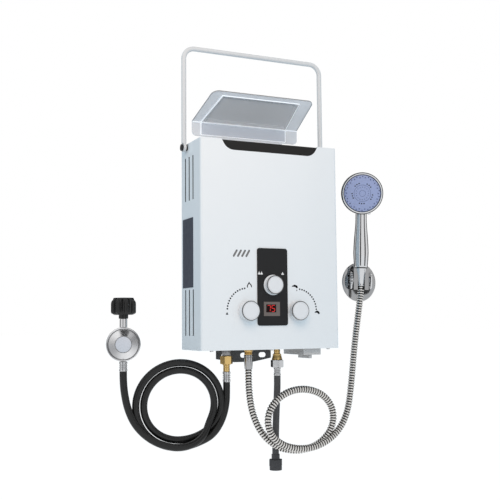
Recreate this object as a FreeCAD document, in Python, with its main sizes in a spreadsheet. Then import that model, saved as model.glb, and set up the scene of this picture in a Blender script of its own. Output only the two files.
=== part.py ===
import FreeCAD, Part
import math
import os
import re

import Sketcher
from FreeCAD import Placement, Rotation, Vector

# Portable propane water heater with its gas hose, cold inlet hose and shower set.
# Millimetres. The origin is the centre of the keyhole in the back plate, on the wall.
# +X is to the right, the front of the heater looks along -Y, and +Z is up.

doc = FreeCAD.newDocument("water_heater")

SIZES = {
    # casing
    "body_width": 290,
    "body_height": 397,
    "body_depth": 104,
    "top_above_hook": 30,
    "cover_sheet": 1.0,
    "back_sheet": 1.0,
    "corner_round": 6,
    "nest_gap": 0.4,
    "flange_depth": 12,
    "lug_depth": 42,
    "lug_height": 24,
    "keyhole_radius": 6,
    "keyhole_slot": 6,
    "keyhole_rise": 12,
    "flue_opening_width": 206,
    "flue_opening_back": 16,
    "notch_bottom_width": 184,
    "notch_height": 20,
    "notch_round": 24,
    # air slots in the sides and sight slots in the front
    "side_slot_width": 5,
    "side_slot_pitch": 20.5,
    "side_slot_back": 21.5,
    "upper_slot_top": 27,
    "upper_slot_length": 85,
    "lower_slot_top": 283,
    "lower_slot_length": 87,
    "sight_slot_width": 4.6,
    "sight_slot_round": 1.9,
    "sight_slot_pitch": 8.6,
    "sight_slot_left": 83,
    "sight_slot_slant": 8.3,
    "sight_slot_rise": 14,
    "sight_slot_drop": 223,
    # lower wall bracket
    "bracket_middle": -14.5,
    "bracket_width": 120,
    "bracket_reach": 27,
    "bracket_ends_reach": 20,
    "bracket_flat": 43,
    "bracket_sheet": 1.2,
    "bracket_overlap": 20,
    "wall_slot_pitch": 40.5,
    "wall_slot_length": 15.4,
    "wall_slot_width": 10,
    "wall_slot_drop": 13.5,
    # control panel and display
    "panel_width": 64,
    "panel_height": 147,
    "panel_drop": 205,
    "panel_sheet": 1.5,
    "panel_round": 5,
    "display_middle": -2.2,
    "display_width": 34,
    "display_height": 27,
    "display_down": 32,
    "window_width": 21,
    "window_height": 15,
    "window_side": 5,
    "window_drop": 5,
    "bezel_proud": 0.6,
    "window_sunk": 0.8,
    "display_depth": 11,
    # knobs and spindles
    "knob_apart": 104,
    "side_knob_down": 119,
    "season_knob_down": 70,
    "knob_radius": 18.4,
    "knob_base_radius": 19,
    "knob_base_height": 2.6,
    "knob_base_step": 0.6,
    "knob_height": 16.6,
    "knob_edge": 1.6,
    "knob_face_step": 0.8,
    "knob_gap": 0.4,
    "knob_bore": 11,
    "season_base_radius": 19.3,
    "season_knob_radius": 17.4,
    "season_knob_height": 12.8,
    "spindle_radius": 3,
    "spindle_reach": 22,
    "running_gap": 0.05,
    "spindle_neck_gap": 6,
    "season_switch_radius": 16,
    "season_switch_depth": 12,
    "season_switch_gap": 2,
    "spindle_hole": 7,
    # exhaust hood, heat exchanger and combustion chamber
    "hood_sheet": 1.0,
    "hood_top_half": 106,
    "hood_mouth_height": 27,
    "hood_cone_height": 47,
    "chamber_width": 142,
    "chamber_depth": 62,
    "chamber_back": 23,
    "chamber_sheet": 1.0,
    "chamber_height": 110,
    "fin_height": 35,
    "fin_gap": 4,
    "fin_pitch": 7,
    "fin_rail": 6,
    "fin_count": 19,
    "stack_gap": 0.5,
    # burner and gas manifold
    "burner_height": 34,
    "blade_width": 8,
    "blade_pitch": 14,
    "blade_count": 9,
    "blade_depth": 58,
    "burner_rail": 5,
    "manifold_radius": 7,
    "manifold_length": 132,
    "nozzle_radius": 2.5,
    "nozzle_height": 7,
    # gas side inside the casing
    "gas_line_side": 73,
    "fitting_depth": 50,
    "gas_pipe_radius": 8.5,
    "gas_pipe_below": 12,
    "gas_pipe_inside": 40,
    "gas_middle": 67.5,
    "gas_block_width": 50,
    "gas_block_depth": 34,
    "gas_block_height": 50,
    # water side inside the casing
    "cold_side": 35,
    "hot_side": 27,
    "water_middle": 46,
    "water_block_width": 36,
    "water_block_depth": 36,
    "water_block_height": 46,
    "pipe_radius": 6,
    "coil_pipe_radius": 5,
    "coil_bend": 12,
    "coil_rise": 24,
    "coil_tap": 4,
    "hot_fitting_inside": 16,
    # battery box
    "battery_beyond_knob": 40,
    "battery_box_width": 38,
    "battery_box_front": 14,
    "battery_box_back": 4,
    "battery_box_height": 74,
    "battery_box_below": 12.5,
    "battery_wall": 1.6,
    "battery_lid_sheet": 2,
    "cell_radius": 16.5,
    "cell_length": 61,
    "lid_gap": 0.4,
    "lid_pin_radius": 1.8,
    "lid_tab_width": 6,
    "lid_tab_length": 46,
    "lid_tab_height": 7,
    # ignition
    "igniter_width": 40,
    "igniter_depth": 30,
    "igniter_height": 56,
    "igniter_lift": 14,
    "electrode_radius": 2,
    "electrode_clear": 3,
    # rating plate, left blank
    "plate_depth": 56,
    "plate_height": 133,
    "plate_front": 63,
    "plate_drop": 146,
    "plate_sheet": 0.5,
    # carry handle
    "pivot_back": 29,
    "pivot_drop": 7,
    "rod_radius": 4.75,
    "handle_rise": 199,
    "handle_off_side": 6,
    "handle_bend": 22,
    "ear_radius": 8.5,
    "ear_thick": 5,
    "screw_shank": 3,
    "screw_head": 6.5,
    "screw_head_height": 3,
    # rain cap
    "cap_fold_height": 54,
    "cap_width": 234,
    "cap_aside": 7,
    "cap_front_width": 216,
    "cap_slope_length": 102,
    "cap_slope": 23,
    "cap_sheet": 2.5,
    "cap_side_border": 25,
    "cap_end_border": 18,
    "cap_dish": 7,
    "cap_dish_draft": 20,
    "cap_skirt": 29,
    "cap_skirt_round": 9,
    "cap_tongue_width": 150,
    "cap_tongue_depth": 20,
    "cap_round": 14,
    "cap_screw_apart": 90,
    "panel_screw_radius": 2,
    "panel_screw_head": 4,
    "panel_screw_head_height": 2.2,
    "panel_screw_length": 6,
    # fittings and hoses
    "gas_nut_flats": 21.5,
    "gas_nut_height": 15.6,
    "gas_stem_radius": 6.25,
    "gas_stem_length": 14,
    "ferrule_radius": 7.4,
    "ferrule_length": 20,
    "gas_hose_radius": 6.7,
    "gas_lead_in": 17,
    "coil_side": 168.3,
    "coil_drop": 497,
    "coil_width": 182,
    "coil_height": 169,
    "coil_strand_pitch": 14.2,
    "outlet_flange_radius": 9,
    "outlet_flange_height": 4,
    "outlet_neck_height": 6,
    "shower_nut_radius": 8.6,
    "shower_nut_height": 28,
    "shower_hose_radius": 7,
    "shower_lead_in": 23,
    "cold_cone_radius": 10.3,
    "cold_cone_height": 11.6,
    "cold_nut_flats": 22,
    "cold_nut_height": 11.3,
    "cold_crimp_radius": 6.8,
    "cold_collar_height": 3.7,
    "cold_crimp_length": 16,
    "cold_hose_radius": 6.5,
    "cold_lead_in": 16,
    "cold_end_side": 29.6,
    "cold_end_drop": 601,
    "coupling_neck_radius": 8,
    "coupling_neck_length": 10,
    "coupling_flats": 24,
    "coupling_grip_length": 12,
    "coupling_skirt_length": 8,
    "coupling_thread_radius": 10.5,
    "coupling_thread_depth": 14,
    "coupling_waterway_radius": 6,
    # gas regulator
    "regulator_side": 276,
    "regulator_drop": 383.5,
    "regulator_turn": 16,
    "regulator_radius": 31,
    "regulator_thick": 44,
    "regulator_rim": 5,
    "regulator_lid_height": 13,
    "regulator_badge_radius": 15,
    "regulator_ferrule_length": 17.5,
    "stem_length": 15.5,
    "stem_radius": 6.8,
    "stem_core_radius": 5.5,
    "nipple_radius": 7.5,
    "nipple_length": 11,
    "tank_collar_radius": 8.5,
    "tank_collar_height": 7,
    "tank_nut_radius": 21,
    "tank_nut_height": 31,
    "tank_rib_radius": 3.2,
    "tank_thread_radius": 16.6,
    "tank_thread_depth": 18,
    # shower bracket and handset
    "shower_side": 257,
    "shower_drop": 261.5,
    "shower_turn_angle": 25,
    "shower_lean_angle": 1.4,
    "shower_disc_radius": 41.5,
    "shower_disc_height": 6.5,
    "fork_thick": 2.8,
    "fork_radius": 9,
    "fork_root": 12,
    "tilt_high": 2,
    "tilt_gap": 0.3,
    "tilt_pin_radius": 4,
    "shower_arm": 38,
    "cradle_half_width": 15.6,
    "cradle_front": 9,
    "cradle_back": 15,
    "cradle_mouth": 14.4,
    "cradle_foot": -18,
    "cradle_heel_depth": 4,
    "cradle_heel_height": 6,
    "cradle_top": 27,
    "ratchet_radius": 18,
    "ratchet_thick": 3.4,
    "seat_gap": 0.3,
    "handset_seam": 29,
    "handle_foot_radius": 14,
    "handle_wide_radius": 16,
    "handle_wide_at": 30,
    "handle_neck_radius": 11.8,
    "handle_neck_at": 100,
    "head_at": 155,
    "handle_top_at": 110,
    "neck_back": 6,
    "neck_radius": 8.5,
    "neck_length": 32,
    "head_forward": 16,
    "head_tilt_angle": 8,
    "head_radius": 44,
    "head_thick": 24,
    "ring_width": 4.4,
    "ring_back": 6,
    "plate_radius": 39,
    "plate_thick": 4,
    "plate_gap": 0.3,
    "plate_crown": 1.6,
    "tab_width": 7,
    "tab_reach": 3,
    "tab_angle": 20,
    "cone_top_radius": 13.6,
    "cone_foot_radius": 8.6,
    "cone_length": 39,
    "cone_bore_radius": 7.6,
    "cone_bore_depth": 26,
    # small steps, rims and laps
    "gas_pipe_notch": 20,
    "outlet_stub": 1.2,
    "inlet_stub": 10.4,
    "neck_step": 1,
    "hose_mouth_step": 0.6,
    "valve_neck_wall": 5,
    "lid_step": 2,
    "lid_rise": 1,
    "regulator_edge": 4,
    "bowl_rise": 3,
    "stem_lap": 2,
    "tank_rib_margin": 2,
    "disc_rim": 1.5,
    "disc_slope": 4,
    "handle_foot_step": 1,
    "handle_wide_step": 1.2,
    "handle_wide_rise": 28,
    "neck_lap": 5,
    "head_seam": 0.4,
    "head_lip": 1,
    "head_shoulder": 1.5,
    "head_shoulder_rise": 5,
    "ring_edge_step": 1.5,
    "ring_edge_rise": 0.8,
    "ring_edge_drop": 1,
    "tab_lap": 2,
    "tab_sink": 1.5,
    "tab_lift": 0.5,
}

# Shares of a size, for tapered and domed forms.
NIPPLE_TAPER = 0.6
HEAD_WAIST = 0.72
HEAD_CROWN = 0.35
CROWN_SHARE = 0.5
SWELL_SHARE = 0.5

# Sizes that follow others, as formulas of the same sheet.
FOLLOWING = {
    "handle_half": "=body_width / 2 + handle_off_side",
    "battery_middle": "=knob_apart / 2 + battery_beyond_knob",
    "battery_box_depth": "=body_depth - battery_box_back - battery_box_front",
    "season_knob_drop": "=panel_drop + season_knob_down",
    "side_knob_drop": "=panel_drop + side_knob_down",
    "display_drop": "=season_knob_drop + display_down",
}
ALL_SIZES = {**SIZES, **FOLLOWING}

sheet = doc.addObject("Spreadsheet::Sheet", "Sizes")
for row, (alias, number_of_mm) in enumerate(ALL_SIZES.items(), start=1):
    sheet.set(f"A{row}", alias.replace("_", " "))
    sheet.set(f"B{row}", str(number_of_mm))
    sheet.setAlias(f"B{row}", alias)
doc.recompute()

WORD = re.compile(r"[a-z][a-z_]*")
HALF = "body_width / 2"
FRONT = "-body_depth"
TOP = "top_above_hook"
BOTTOM = "(top_above_hook - body_height)"

TURN_TO = {
    "x": Rotation(Vector(0, 1, 0), 90),
    "-x": Rotation(Vector(0, 1, 0), -90),
    "y": Rotation(Vector(1, 0, 0), -90),
    "-y": Rotation(Vector(1, 0, 0), 90),
    "z": Rotation(),
    "-z": Rotation(Vector(1, 0, 0), 180),
}
pieces = []


def expression(text):
    """Write the sheet's name in front of each size in text."""

    def named(match):
        word = match.group()
        return "Sizes." + word if word in ALL_SIZES else word

    return WORD.sub(named, str(text))


def number(text):
    """Value of an expression in the sheet's sizes, in millimetres or degrees."""
    return float(sheet.evalExpression(expression(text)))


def bind(thing, **properties):
    """Tie each property of thing to an expression in the sheet's sizes."""
    for name, text in properties.items():
        thing.setExpression(name, expression(text))
    return thing


def place(thing, at, axis="z"):
    """Put thing at a point, with its own +Z turned to axis."""
    thing.Placement = Placement(Vector(), TURN_TO[axis])
    for letter, text in zip("xyz", at):
        thing.setExpression("Placement.Base." + letter, expression(text))
    return thing


def piece(thing, label):
    """Keep thing as one of the heater's pieces, under its own name."""
    thing.Label = label
    pieces.append(thing)
    return thing


# Part primitives, each tied to the sheet


def block(across, deep, high):
    """Box between two expressions on each axis."""
    box = doc.addObject("Part::Box", "Block")
    for name, (low, top) in zip(("Length", "Width", "Height"), (across, deep, high)):
        box.setExpression(name, expression(f"({top}) - ({low})"))
    return place(box, (across[0], deep[0], high[0]))


def rod(at, axis, radius, length):
    """Round bar from a point along an axis."""
    cylinder = doc.addObject("Part::Cylinder", "Rod")
    bind(cylinder, Radius=radius, Height=length)
    return place(cylinder, at, axis)


def taper(at, axis, near, far, length):
    """Round bar whose radius runs from near to far."""
    cone = doc.addObject("Part::Cone", "Taper")
    bind(cone, Radius1=near, Radius2=far, Height=length)
    return place(cone, at, axis)


def hexagon(at, axis, flats, length):
    """Six-sided bar by its size across the flats."""
    prism = doc.addObject("Part::Prism", "Hexagon")
    prism.Polygon = 6
    bind(prism, Circumradius=f"({flats}) / 2 / cos(30 deg)", Height=length)
    return place(prism, at, axis)


def fuse(*things):
    """Several shapes as one."""
    union = doc.addObject("Part::MultiFuse", "Union")
    union.Shapes = list(things)
    union.Refine = True
    return union


def cut(base, *tools):
    """Base with the tools taken out of it."""
    difference = doc.addObject("Part::Cut", "Difference")
    difference.Base = base
    difference.Tool = tools[0] if len(tools) == 1 else fuse(*tools)
    difference.Refine = True
    return difference


def group(*things):
    """Separate solids of one kind under one name."""
    compound = doc.addObject("Part::Compound", "Group")
    compound.Links = list(things)
    return compound


# PartDesign bodies


def new_body(name):
    """Empty body with its own origin planes."""
    return doc.addObject("PartDesign::Body", name)


def new_sketch(body, plane, offset="0"):
    """Sketch on one of the body's own planes, moved along its normal."""
    sketch = body.newObject("Sketcher::SketchObject", body.Name + "_sketch")
    role = plane + "_Plane"
    found = [item for item in body.Origin.OriginFeatures if item.Role == role]
    sketch.AttachmentSupport = (found[0], [""])
    sketch.MapMode = "FlatFace"
    sketch.setExpression("AttachmentOffset.Base.z", expression(offset))
    return sketch


def pin_point(sketch, geometry, corner, across, up):
    """Hold a sketch point at two expressions, measured from the sketch's origin."""
    for kind, text, axis in (("DistanceX", across, -2), ("DistanceY", up, -1)):
        if abs(number(text)) < 1e-9:
            sketch.addConstraint(Sketcher.Constraint("PointOnObject", geometry, corner, axis))
            continue
        held = Sketcher.Constraint(kind, -1, 1, geometry, corner, number(text))
        index = sketch.addConstraint(held)
        sketch.setExpression(f"Constraints[{index}]", expression(text))


def draw_outline(sketch, points):
    """Closed outline of straight lines through points given as expressions."""
    first = sketch.GeometryCount
    spots = [Vector(number(across), number(up), 0) for across, up in points]
    count = len(spots)
    for index, spot in enumerate(spots):
        line = Part.LineSegment(spot, spots[(index + 1) % count])
        sketch.addGeometry(line)
    for index in range(count):
        after = first + (index + 1) % count
        sketch.addConstraint(Sketcher.Constraint("Coincident", first + index, 2, after, 1))
    for index, (across, up) in enumerate(points):
        pin_point(sketch, first + index, 1, across, up)
    return sketch


def draw_circle(sketch, across, up, radius):
    """Circle by its centre and radius, all as expressions."""
    spot = Vector(number(across), number(up), 0)
    index = sketch.addGeometry(Part.Circle(spot, Vector(0, 0, 1), number(radius)))
    pin_point(sketch, index, 3, across, up)
    held = sketch.addConstraint(Sketcher.Constraint("Radius", index, number(radius)))
    sketch.setExpression(f"Constraints[{held}]", expression(radius))
    return sketch


def rectangle(left, right, low, high):
    """Corners of an upright rectangle for draw_outline."""
    return [(left, low), (right, low), (right, high), (left, high)]


def feature(body, kind, sketch, **properties):
    """PartDesign feature of one sketch, with its lengths tied to the sheet."""
    made = body.newObject("PartDesign::" + kind, kind)
    made.Profile = sketch
    bind(made, **properties)
    return made


def pad(body, sketch, length, backwards=False):
    """Grow the sketch along its normal, or the other way."""
    made = feature(body, "Pad", sketch, Length=length)
    made.Reversed = backwards
    return made


def pocket(body, sketch, length, both_ways=False):
    """Cut the sketch into the body against its normal, or both ways by half."""
    made = feature(body, "Pocket", sketch, Length=length)
    made.Midplane = both_ways
    return made


def repeat(body, original, axis, pitch, count):
    """Row of copies of a feature along an axis of its sketch."""
    row = body.newObject("PartDesign::LinearPattern", "Row")
    row.Originals = [original]
    row.Direction = (original.Profile[0], [axis])
    bind(row, Length=f"({pitch}) * (({count}) - 1)", Occurrences=count)
    body.Tip = row
    return row


def turned(name, profile):
    """Body made by turning a profile of (radius, height) about its own Z axis."""
    body = new_body(name)
    sketch = draw_outline(new_sketch(body, "XZ"), profile)
    spin = feature(body, "Revolution", sketch)
    spin.ReferenceAxis = (sketch, ["V_Axis"])
    spin.Angle = 360
    return body


def round_edges(body, radius, chosen):
    """Fillet the edges of the body that the test chooses."""
    doc.recompute()
    base = body.Tip
    edges = enumerate(base.Shape.Edges, start=1)
    names = [f"Edge{index}" for index, edge in edges if chosen(edge)]
    fillet = body.newObject("PartDesign::Fillet", "Fillet")
    fillet.Base = (base, names)
    bind(fillet, Radius=radius)
    return fillet


def runs_along(edge, axis):
    """True for a straight edge parallel to an axis, 0 for X, 1 for Y and 2 for Z."""
    if edge.Curve.TypeId != "Part::GeomLine":
        return False
    step = edge.Vertexes[1].Point - edge.Vertexes[0].Point
    return abs(abs(step[axis]) - step.Length) < 1e-6


# Bent tubes: straight runs joined by arcs that touch both runs


def bent_path(points, radius=None):
    """Wire through points; each arc has radius, or as much as its two runs allow."""
    edges = []
    radii = []
    start = points[0]
    for before, corner, after in zip(points, points[1:], points[2:]):
        back = before - corner
        ahead = after - corner
        half_turn = (math.pi - back.getAngle(ahead)) / 2
        shorter = min(back.Length, ahead.Length)
        arc = radius or 0.45 * shorter / math.tan(half_turn)
        radii.append(arc)
        tangent = arc * math.tan(half_turn)
        back.normalize()
        ahead.normalize()
        enter = corner + back * tangent
        leave = corner + ahead * tangent
        inward = back + ahead
        inward.normalize()
        middle = corner + inward * (arc / math.cos(half_turn) - arc)
        edges.append(Part.LineSegment(start, enter).toShape())
        edges.append(Part.Arc(enter, middle, leave).toShape())
        start = leave
    edges.append(Part.LineSegment(start, points[-1]).toShape())
    return Part.Wire(edges), radii


def tube_shape(points, outer, radius=None, bore=0):
    """Round tube or rod along a bent path."""
    wire, radii = bent_path(points, radius)
    heading = points[1] - points[0]

    def swept(size):
        ring = Part.Wire(Part.makeCircle(size, points[0], heading))
        return wire.makePipeShell([ring], True, False)

    solid = swept(outer)
    if bore:
        solid = solid.cut(swept(bore))
    section = math.pi * (outer**2 - bore**2)
    return solid, wire, radii, solid.Volume / (section * wire.Length)


def bent_rod(name, points, outer, radius=None, bore=0, tell=False):
    """Piece whose shape is a tube through points already read from the sheet."""
    solid, wire, radii, share = tube_shape(points, outer, radius, bore)
    made = doc.addObject("Part::Feature", name)
    made.Shape = solid
    if tell:
        print(f"{name}: {wire.Length:.0f} mm, volume share {share:.4f}, radii", end=" ")
        print(" ".join(f"{value:.0f}" for value in radii))
    return made


def spot(across, deep, high):
    """Point from three expressions."""
    return Vector(number(across), number(deep), number(high))


# Casing


def build_back_plate():
    """Galvanised chassis: wall plate, side flanges, handle lugs and the keyhole."""
    body = new_body("back_plate")
    side = f"({HALF} - cover_sheet - nest_gap)"
    low = f"{BOTTOM} + bracket_overlap / 2"
    high = f"{TOP} - cover_sheet - nest_gap"
    face = draw_outline(new_sketch(body, "XZ"), rectangle(f"-{side}", side, low, high))
    pad(body, face, "back_sheet")
    inner = f"({side} - back_sheet)"
    for left, right in ((f"-{side}", f"-{inner}"), (inner, side)):
        flange = new_sketch(body, "XZ", "back_sheet")
        pad(body, draw_outline(flange, rectangle(left, right, low, high)), "flange_depth")
        lug = new_sketch(body, "XZ", "flange_depth")
        draw_outline(lug, rectangle(left, right, f"{high} - lug_height", high))
        pad(body, lug, "lug_depth - flange_depth")
    hole = draw_circle(new_sketch(body, "XZ", "2 * back_sheet"), "0", "0", "keyhole_radius")
    pocket(body, hole, "3 * back_sheet")
    slot = new_sketch(body, "XZ", "2 * back_sheet")
    half_slot = "keyhole_slot / 2"
    draw_outline(slot, rectangle(f"-{half_slot}", half_slot, "0", "keyhole_rise"))
    pocket(body, slot, "3 * back_sheet")
    screws = new_sketch(body, "YZ")
    draw_circle(screws, "-pivot_back", f"{TOP} - pivot_drop", "screw_shank")
    pocket(body, screws, "body_width", both_ways=True)
    return piece(body, "back_plate")


def build_front_cover():
    """White sheet cover with its slots, display opening and flue opening."""
    body = new_body("front_cover")
    inner = f"({HALF} - cover_sheet)"
    front_inside = "cover_sheet - body_depth"
    walls = new_sketch(body, "XY", BOTTOM)
    draw_outline(walls, [
        (f"-{HALF}", "0"), (f"-{HALF}", FRONT), (HALF, FRONT), (HALF, "0"),
        (inner, "0"), (inner, front_inside), (f"-{inner}", front_inside), (f"-{inner}", "0"),
    ])
    pad(body, walls, "body_height")
    front = number(FRONT)
    sheet_inside = number(front_inside)

    def corner_at(edge, deep):
        return runs_along(edge, 2) and abs(edge.Vertexes[0].Y - deep) < 1e-6

    round_edges(body, "corner_round", lambda edge: corner_at(edge, front))
    inner_round = "corner_round - cover_sheet"
    round_edges(body, inner_round, lambda edge: corner_at(edge, sheet_inside))
    seat = "cover_sheet / 2"
    edge_x = f"({HALF} - {seat})"
    edge_y = f"({seat} - body_depth)"
    bend_x = f"({HALF} - corner_round)"
    bend_y = "(corner_round - body_depth)"
    lid = new_sketch(body, "XY", f"{TOP} - cover_sheet")
    draw_outline(lid, [
        (f"-{edge_x}", "-cap_sheet - 2 * back_sheet"), (f"-{edge_x}", bend_y),
        (f"-{bend_x}", edge_y), (bend_x, edge_y), (edge_x, bend_y),
        (edge_x, "-cap_sheet - 2 * back_sheet"),
    ])
    pad(body, lid, "cover_sheet")
    foot = new_sketch(body, "XY", BOTTOM)
    draw_outline(foot, [
        (f"-{edge_x}", "flange_depth - body_depth"), (f"-{edge_x}", bend_y),
        (f"-{bend_x}", edge_y), (bend_x, edge_y), (edge_x, bend_y),
        (edge_x, "flange_depth - body_depth"),
    ])
    pad(body, foot, "cover_sheet")
    flue = new_sketch(body, "XY", f"{TOP} + cover_sheet")
    half_flue = "flue_opening_width / 2"
    draw_outline(flue, rectangle(f"-{half_flue}", half_flue, f"{FRONT} - 1", "-flue_opening_back"))
    pocket(body, flue, "2.5 * cover_sheet")
    notch = new_sketch(body, "XZ", "body_depth + 1")
    half_low = "notch_bottom_width / 2"
    draw_outline(notch, [
        (f"-{half_low}", f"{TOP} - notch_height"), (half_low, f"{TOP} - notch_height"),
        (half_flue, TOP), (half_flue, f"{TOP} + 1"),
        (f"-{half_flue}", f"{TOP} + 1"), (f"-{half_flue}", TOP),
    ])
    pocket(body, notch, "cover_sheet + 2")
    corner_x = number(half_low)
    notch_foot = number(f"{TOP} - notch_height")
    round_edges(body, "notch_round", lambda edge: runs_along(edge, 1)
                and abs(abs(edge.Vertexes[0].X) - corner_x) < 1e-6
                and abs(edge.Vertexes[0].Z - notch_foot) < 1e-6)
    opening = new_sketch(body, "XZ", "body_depth + 1")
    half_panel = "(panel_width / 2 - panel_round)"
    panel_low = f"{TOP} - panel_drop - panel_height + panel_round"
    draw_outline(opening, rectangle(
        f"-{half_panel}", half_panel, panel_low, f"{TOP} - panel_drop - panel_round"))
    pocket(body, opening, "cover_sheet + 2")
    spindles = new_sketch(body, "XZ", "body_depth + 1")
    for sign in ("-", ""):
        draw_circle(spindles, f"{sign}knob_apart / 2", f"{TOP} - side_knob_drop", "spindle_hole")
    pocket(body, spindles, "cover_sheet + 2")
    sight = new_sketch(body, "XZ", "body_depth + 1")
    foot_z = f"{TOP} - sight_slot_drop"
    head_z = f"({foot_z} + sight_slot_rise)"
    draw_outline(sight, [
        ("-sight_slot_left", foot_z), ("sight_slot_width - sight_slot_left", foot_z),
        ("sight_slot_width + sight_slot_slant - sight_slot_left", head_z),
        ("sight_slot_slant - sight_slot_left", head_z),
    ])
    slots = pocket(body, sight, "cover_sheet + 2")
    repeat(body, slots, "H_Axis", "sight_slot_pitch", 4)
    slot_ends = (number(foot_z), number(head_z))
    round_edges(body, "sight_slot_round", lambda edge: runs_along(edge, 1)
                and min(abs(edge.Vertexes[0].Z - end) for end in slot_ends) < 1e-6)
    for drop, length in (("upper_slot_top", "upper_slot_length"),
                         ("lower_slot_top", "lower_slot_length")):
        side = new_sketch(body, "YZ")
        low_y = "-side_slot_back - side_slot_width / 2 - 2 * side_slot_pitch"
        draw_outline(side, rectangle(
            low_y, f"{low_y} + side_slot_width", f"{TOP} - {drop} - {length}",
            f"{TOP} - {drop}"))
        vents = pocket(body, side, "body_width + 4", both_ways=True)
        repeat(body, vents, "H_Axis", "side_slot_pitch", 3)
    pivots = new_sketch(body, "YZ")
    draw_circle(pivots, "-pivot_back", f"{TOP} - pivot_drop", "screw_shank")
    pocket(body, pivots, "body_width + 4", both_ways=True)
    screws = new_sketch(body, "XY", f"{BOTTOM} + 2 * cover_sheet")
    for across in FOOT_SCREWS:
        draw_circle(screws, across, FOOT_SCREW_Y, "panel_screw_radius")
    pocket(body, screws, "3 * cover_sheet")
    return piece(body, "front_cover")


FOOT_SCREWS = (f"22 - {HALF}", "0", f"{HALF} - 22")
FOOT_SCREW_Y = "(flange_depth / 2 - body_depth)"


def build_bottom_panel():
    """Bottom sheet with a hole for each pipe and for the battery box."""
    body = new_body("bottom_panel")
    inset = "(cover_sheet + nest_gap)"
    side = f"({HALF} - {inset})"
    bend_x = f"({HALF} - corner_round)"
    plate = new_sketch(body, "XY", f"{BOTTOM} + cover_sheet")
    back = "-back_sheet - bracket_sheet - nest_gap"
    draw_outline(plate, [
        (f"-{side}", back), (f"-{side}", "corner_round - body_depth"),
        (f"-{bend_x}", f"{inset} - body_depth"), (bend_x, f"{inset} - body_depth"),
        (side, "corner_round - body_depth"), (side, back),
    ])
    pad(body, plate, "back_sheet")
    holes = new_sketch(body, "XY", f"{BOTTOM} + 4 * cover_sheet")
    for across, radius in (("-gas_line_side", "gas_pipe_radius"),
                           ("-hot_side", "pipe_radius"), ("cold_side", "pipe_radius")):
        draw_circle(holes, across, "-fitting_depth", f"{radius} + nest_gap")
    pocket(body, holes, "6 * cover_sheet")
    well = new_sketch(body, "XY", f"{BOTTOM} + 4 * cover_sheet")
    half_box = "(battery_box_width / 2 + nest_gap)"
    draw_outline(well, rectangle(
        f"battery_middle - {half_box}", f"battery_middle + {half_box}",
        "-battery_box_back - battery_box_depth - nest_gap", "nest_gap - battery_box_back"))
    pocket(body, well, "6 * cover_sheet")
    screws = new_sketch(body, "XY", f"{BOTTOM} + 4 * cover_sheet")
    for across in FOOT_SCREWS:
        draw_circle(screws, across, FOOT_SCREW_Y, "panel_screw_radius")
    pocket(body, screws, "6 * cover_sheet")
    return piece(body, "bottom_panel")


def build_wall_bracket():
    """Lower bracket that carries the heater's foot on the wall."""
    body = new_body("wall_bracket")
    left = "(bracket_middle - bracket_width / 2)"
    right = "(bracket_middle + bracket_width / 2)"
    plate = new_sketch(body, "XZ")
    draw_outline(plate, [
        (left, f"{BOTTOM} - bracket_ends_reach"),
        ("bracket_middle - bracket_flat / 2", f"{BOTTOM} - bracket_reach"),
        ("bracket_middle + bracket_flat / 2", f"{BOTTOM} - bracket_reach"),
        (right, f"{BOTTOM} - bracket_ends_reach"),
        (right, f"{BOTTOM} + bracket_overlap / 2 - nest_gap"),
        (left, f"{BOTTOM} + bracket_overlap / 2 - nest_gap"),
    ])
    pad(body, plate, "back_sheet")
    tongue = new_sketch(body, "XZ", "back_sheet")
    draw_outline(tongue, rectangle(left, right, BOTTOM, f"{BOTTOM} + bracket_overlap"))
    pad(body, tongue, "bracket_sheet")
    slot = new_sketch(body, "XZ", "3 * bracket_sheet")
    first = "(bracket_middle - wall_slot_pitch)"
    middle_z = f"({BOTTOM} - wall_slot_drop)"
    half_length = "wall_slot_length / 2"
    half_width = "wall_slot_width / 2"
    draw_outline(slot, rectangle(
        f"{first} - {half_length} + {half_width}", f"{first} + {half_length} - {half_width}",
        f"{middle_z} - {half_width}", f"{middle_z} + {half_width}"))
    row = pocket(body, slot, "5 * bracket_sheet")
    repeat(body, row, "H_Axis", "wall_slot_pitch", 3)
    for side in ("-", "+"):
        end = new_sketch(body, "XZ", "3 * bracket_sheet")
        across = f"{first} {side} ({half_length} - {half_width})"
        draw_circle(end, across, middle_z, half_width)
        row = pocket(body, end, "5 * bracket_sheet")
        repeat(body, row, "H_Axis", "wall_slot_pitch", 3)
    return piece(body, "wall_bracket")


def build_rating_plate():
    """Plain dark plate on the left side."""
    low = f"{TOP} - plate_drop - plate_height"
    plate = block((f"-{HALF} - plate_sheet", f"-{HALF}"),
                  ("-plate_front", "plate_depth - plate_front"), (low, f"{low} + plate_height"))
    return piece(plate, "rating_plate")


# Exhaust, heat exchanger, burner


HOOD_FOOT = f"({TOP} - cover_sheet - nest_gap - hood_mouth_height - hood_cone_height)"
CHAMBER_FRONT = "(-chamber_back - chamber_depth)"
FIN_FOOT = f"({HOOD_FOOT} - stack_gap - fin_height)"
CHAMBER_FOOT = f"({FIN_FOOT} - stack_gap - chamber_height)"
BURNER_FOOT = f"({CHAMBER_FOOT} - stack_gap - burner_height)"
MANIFOLD_Z = f"({BURNER_FOOT} - nozzle_height - manifold_radius)"
BURNER_Y = "(-chamber_back - chamber_depth / 2)"


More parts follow.
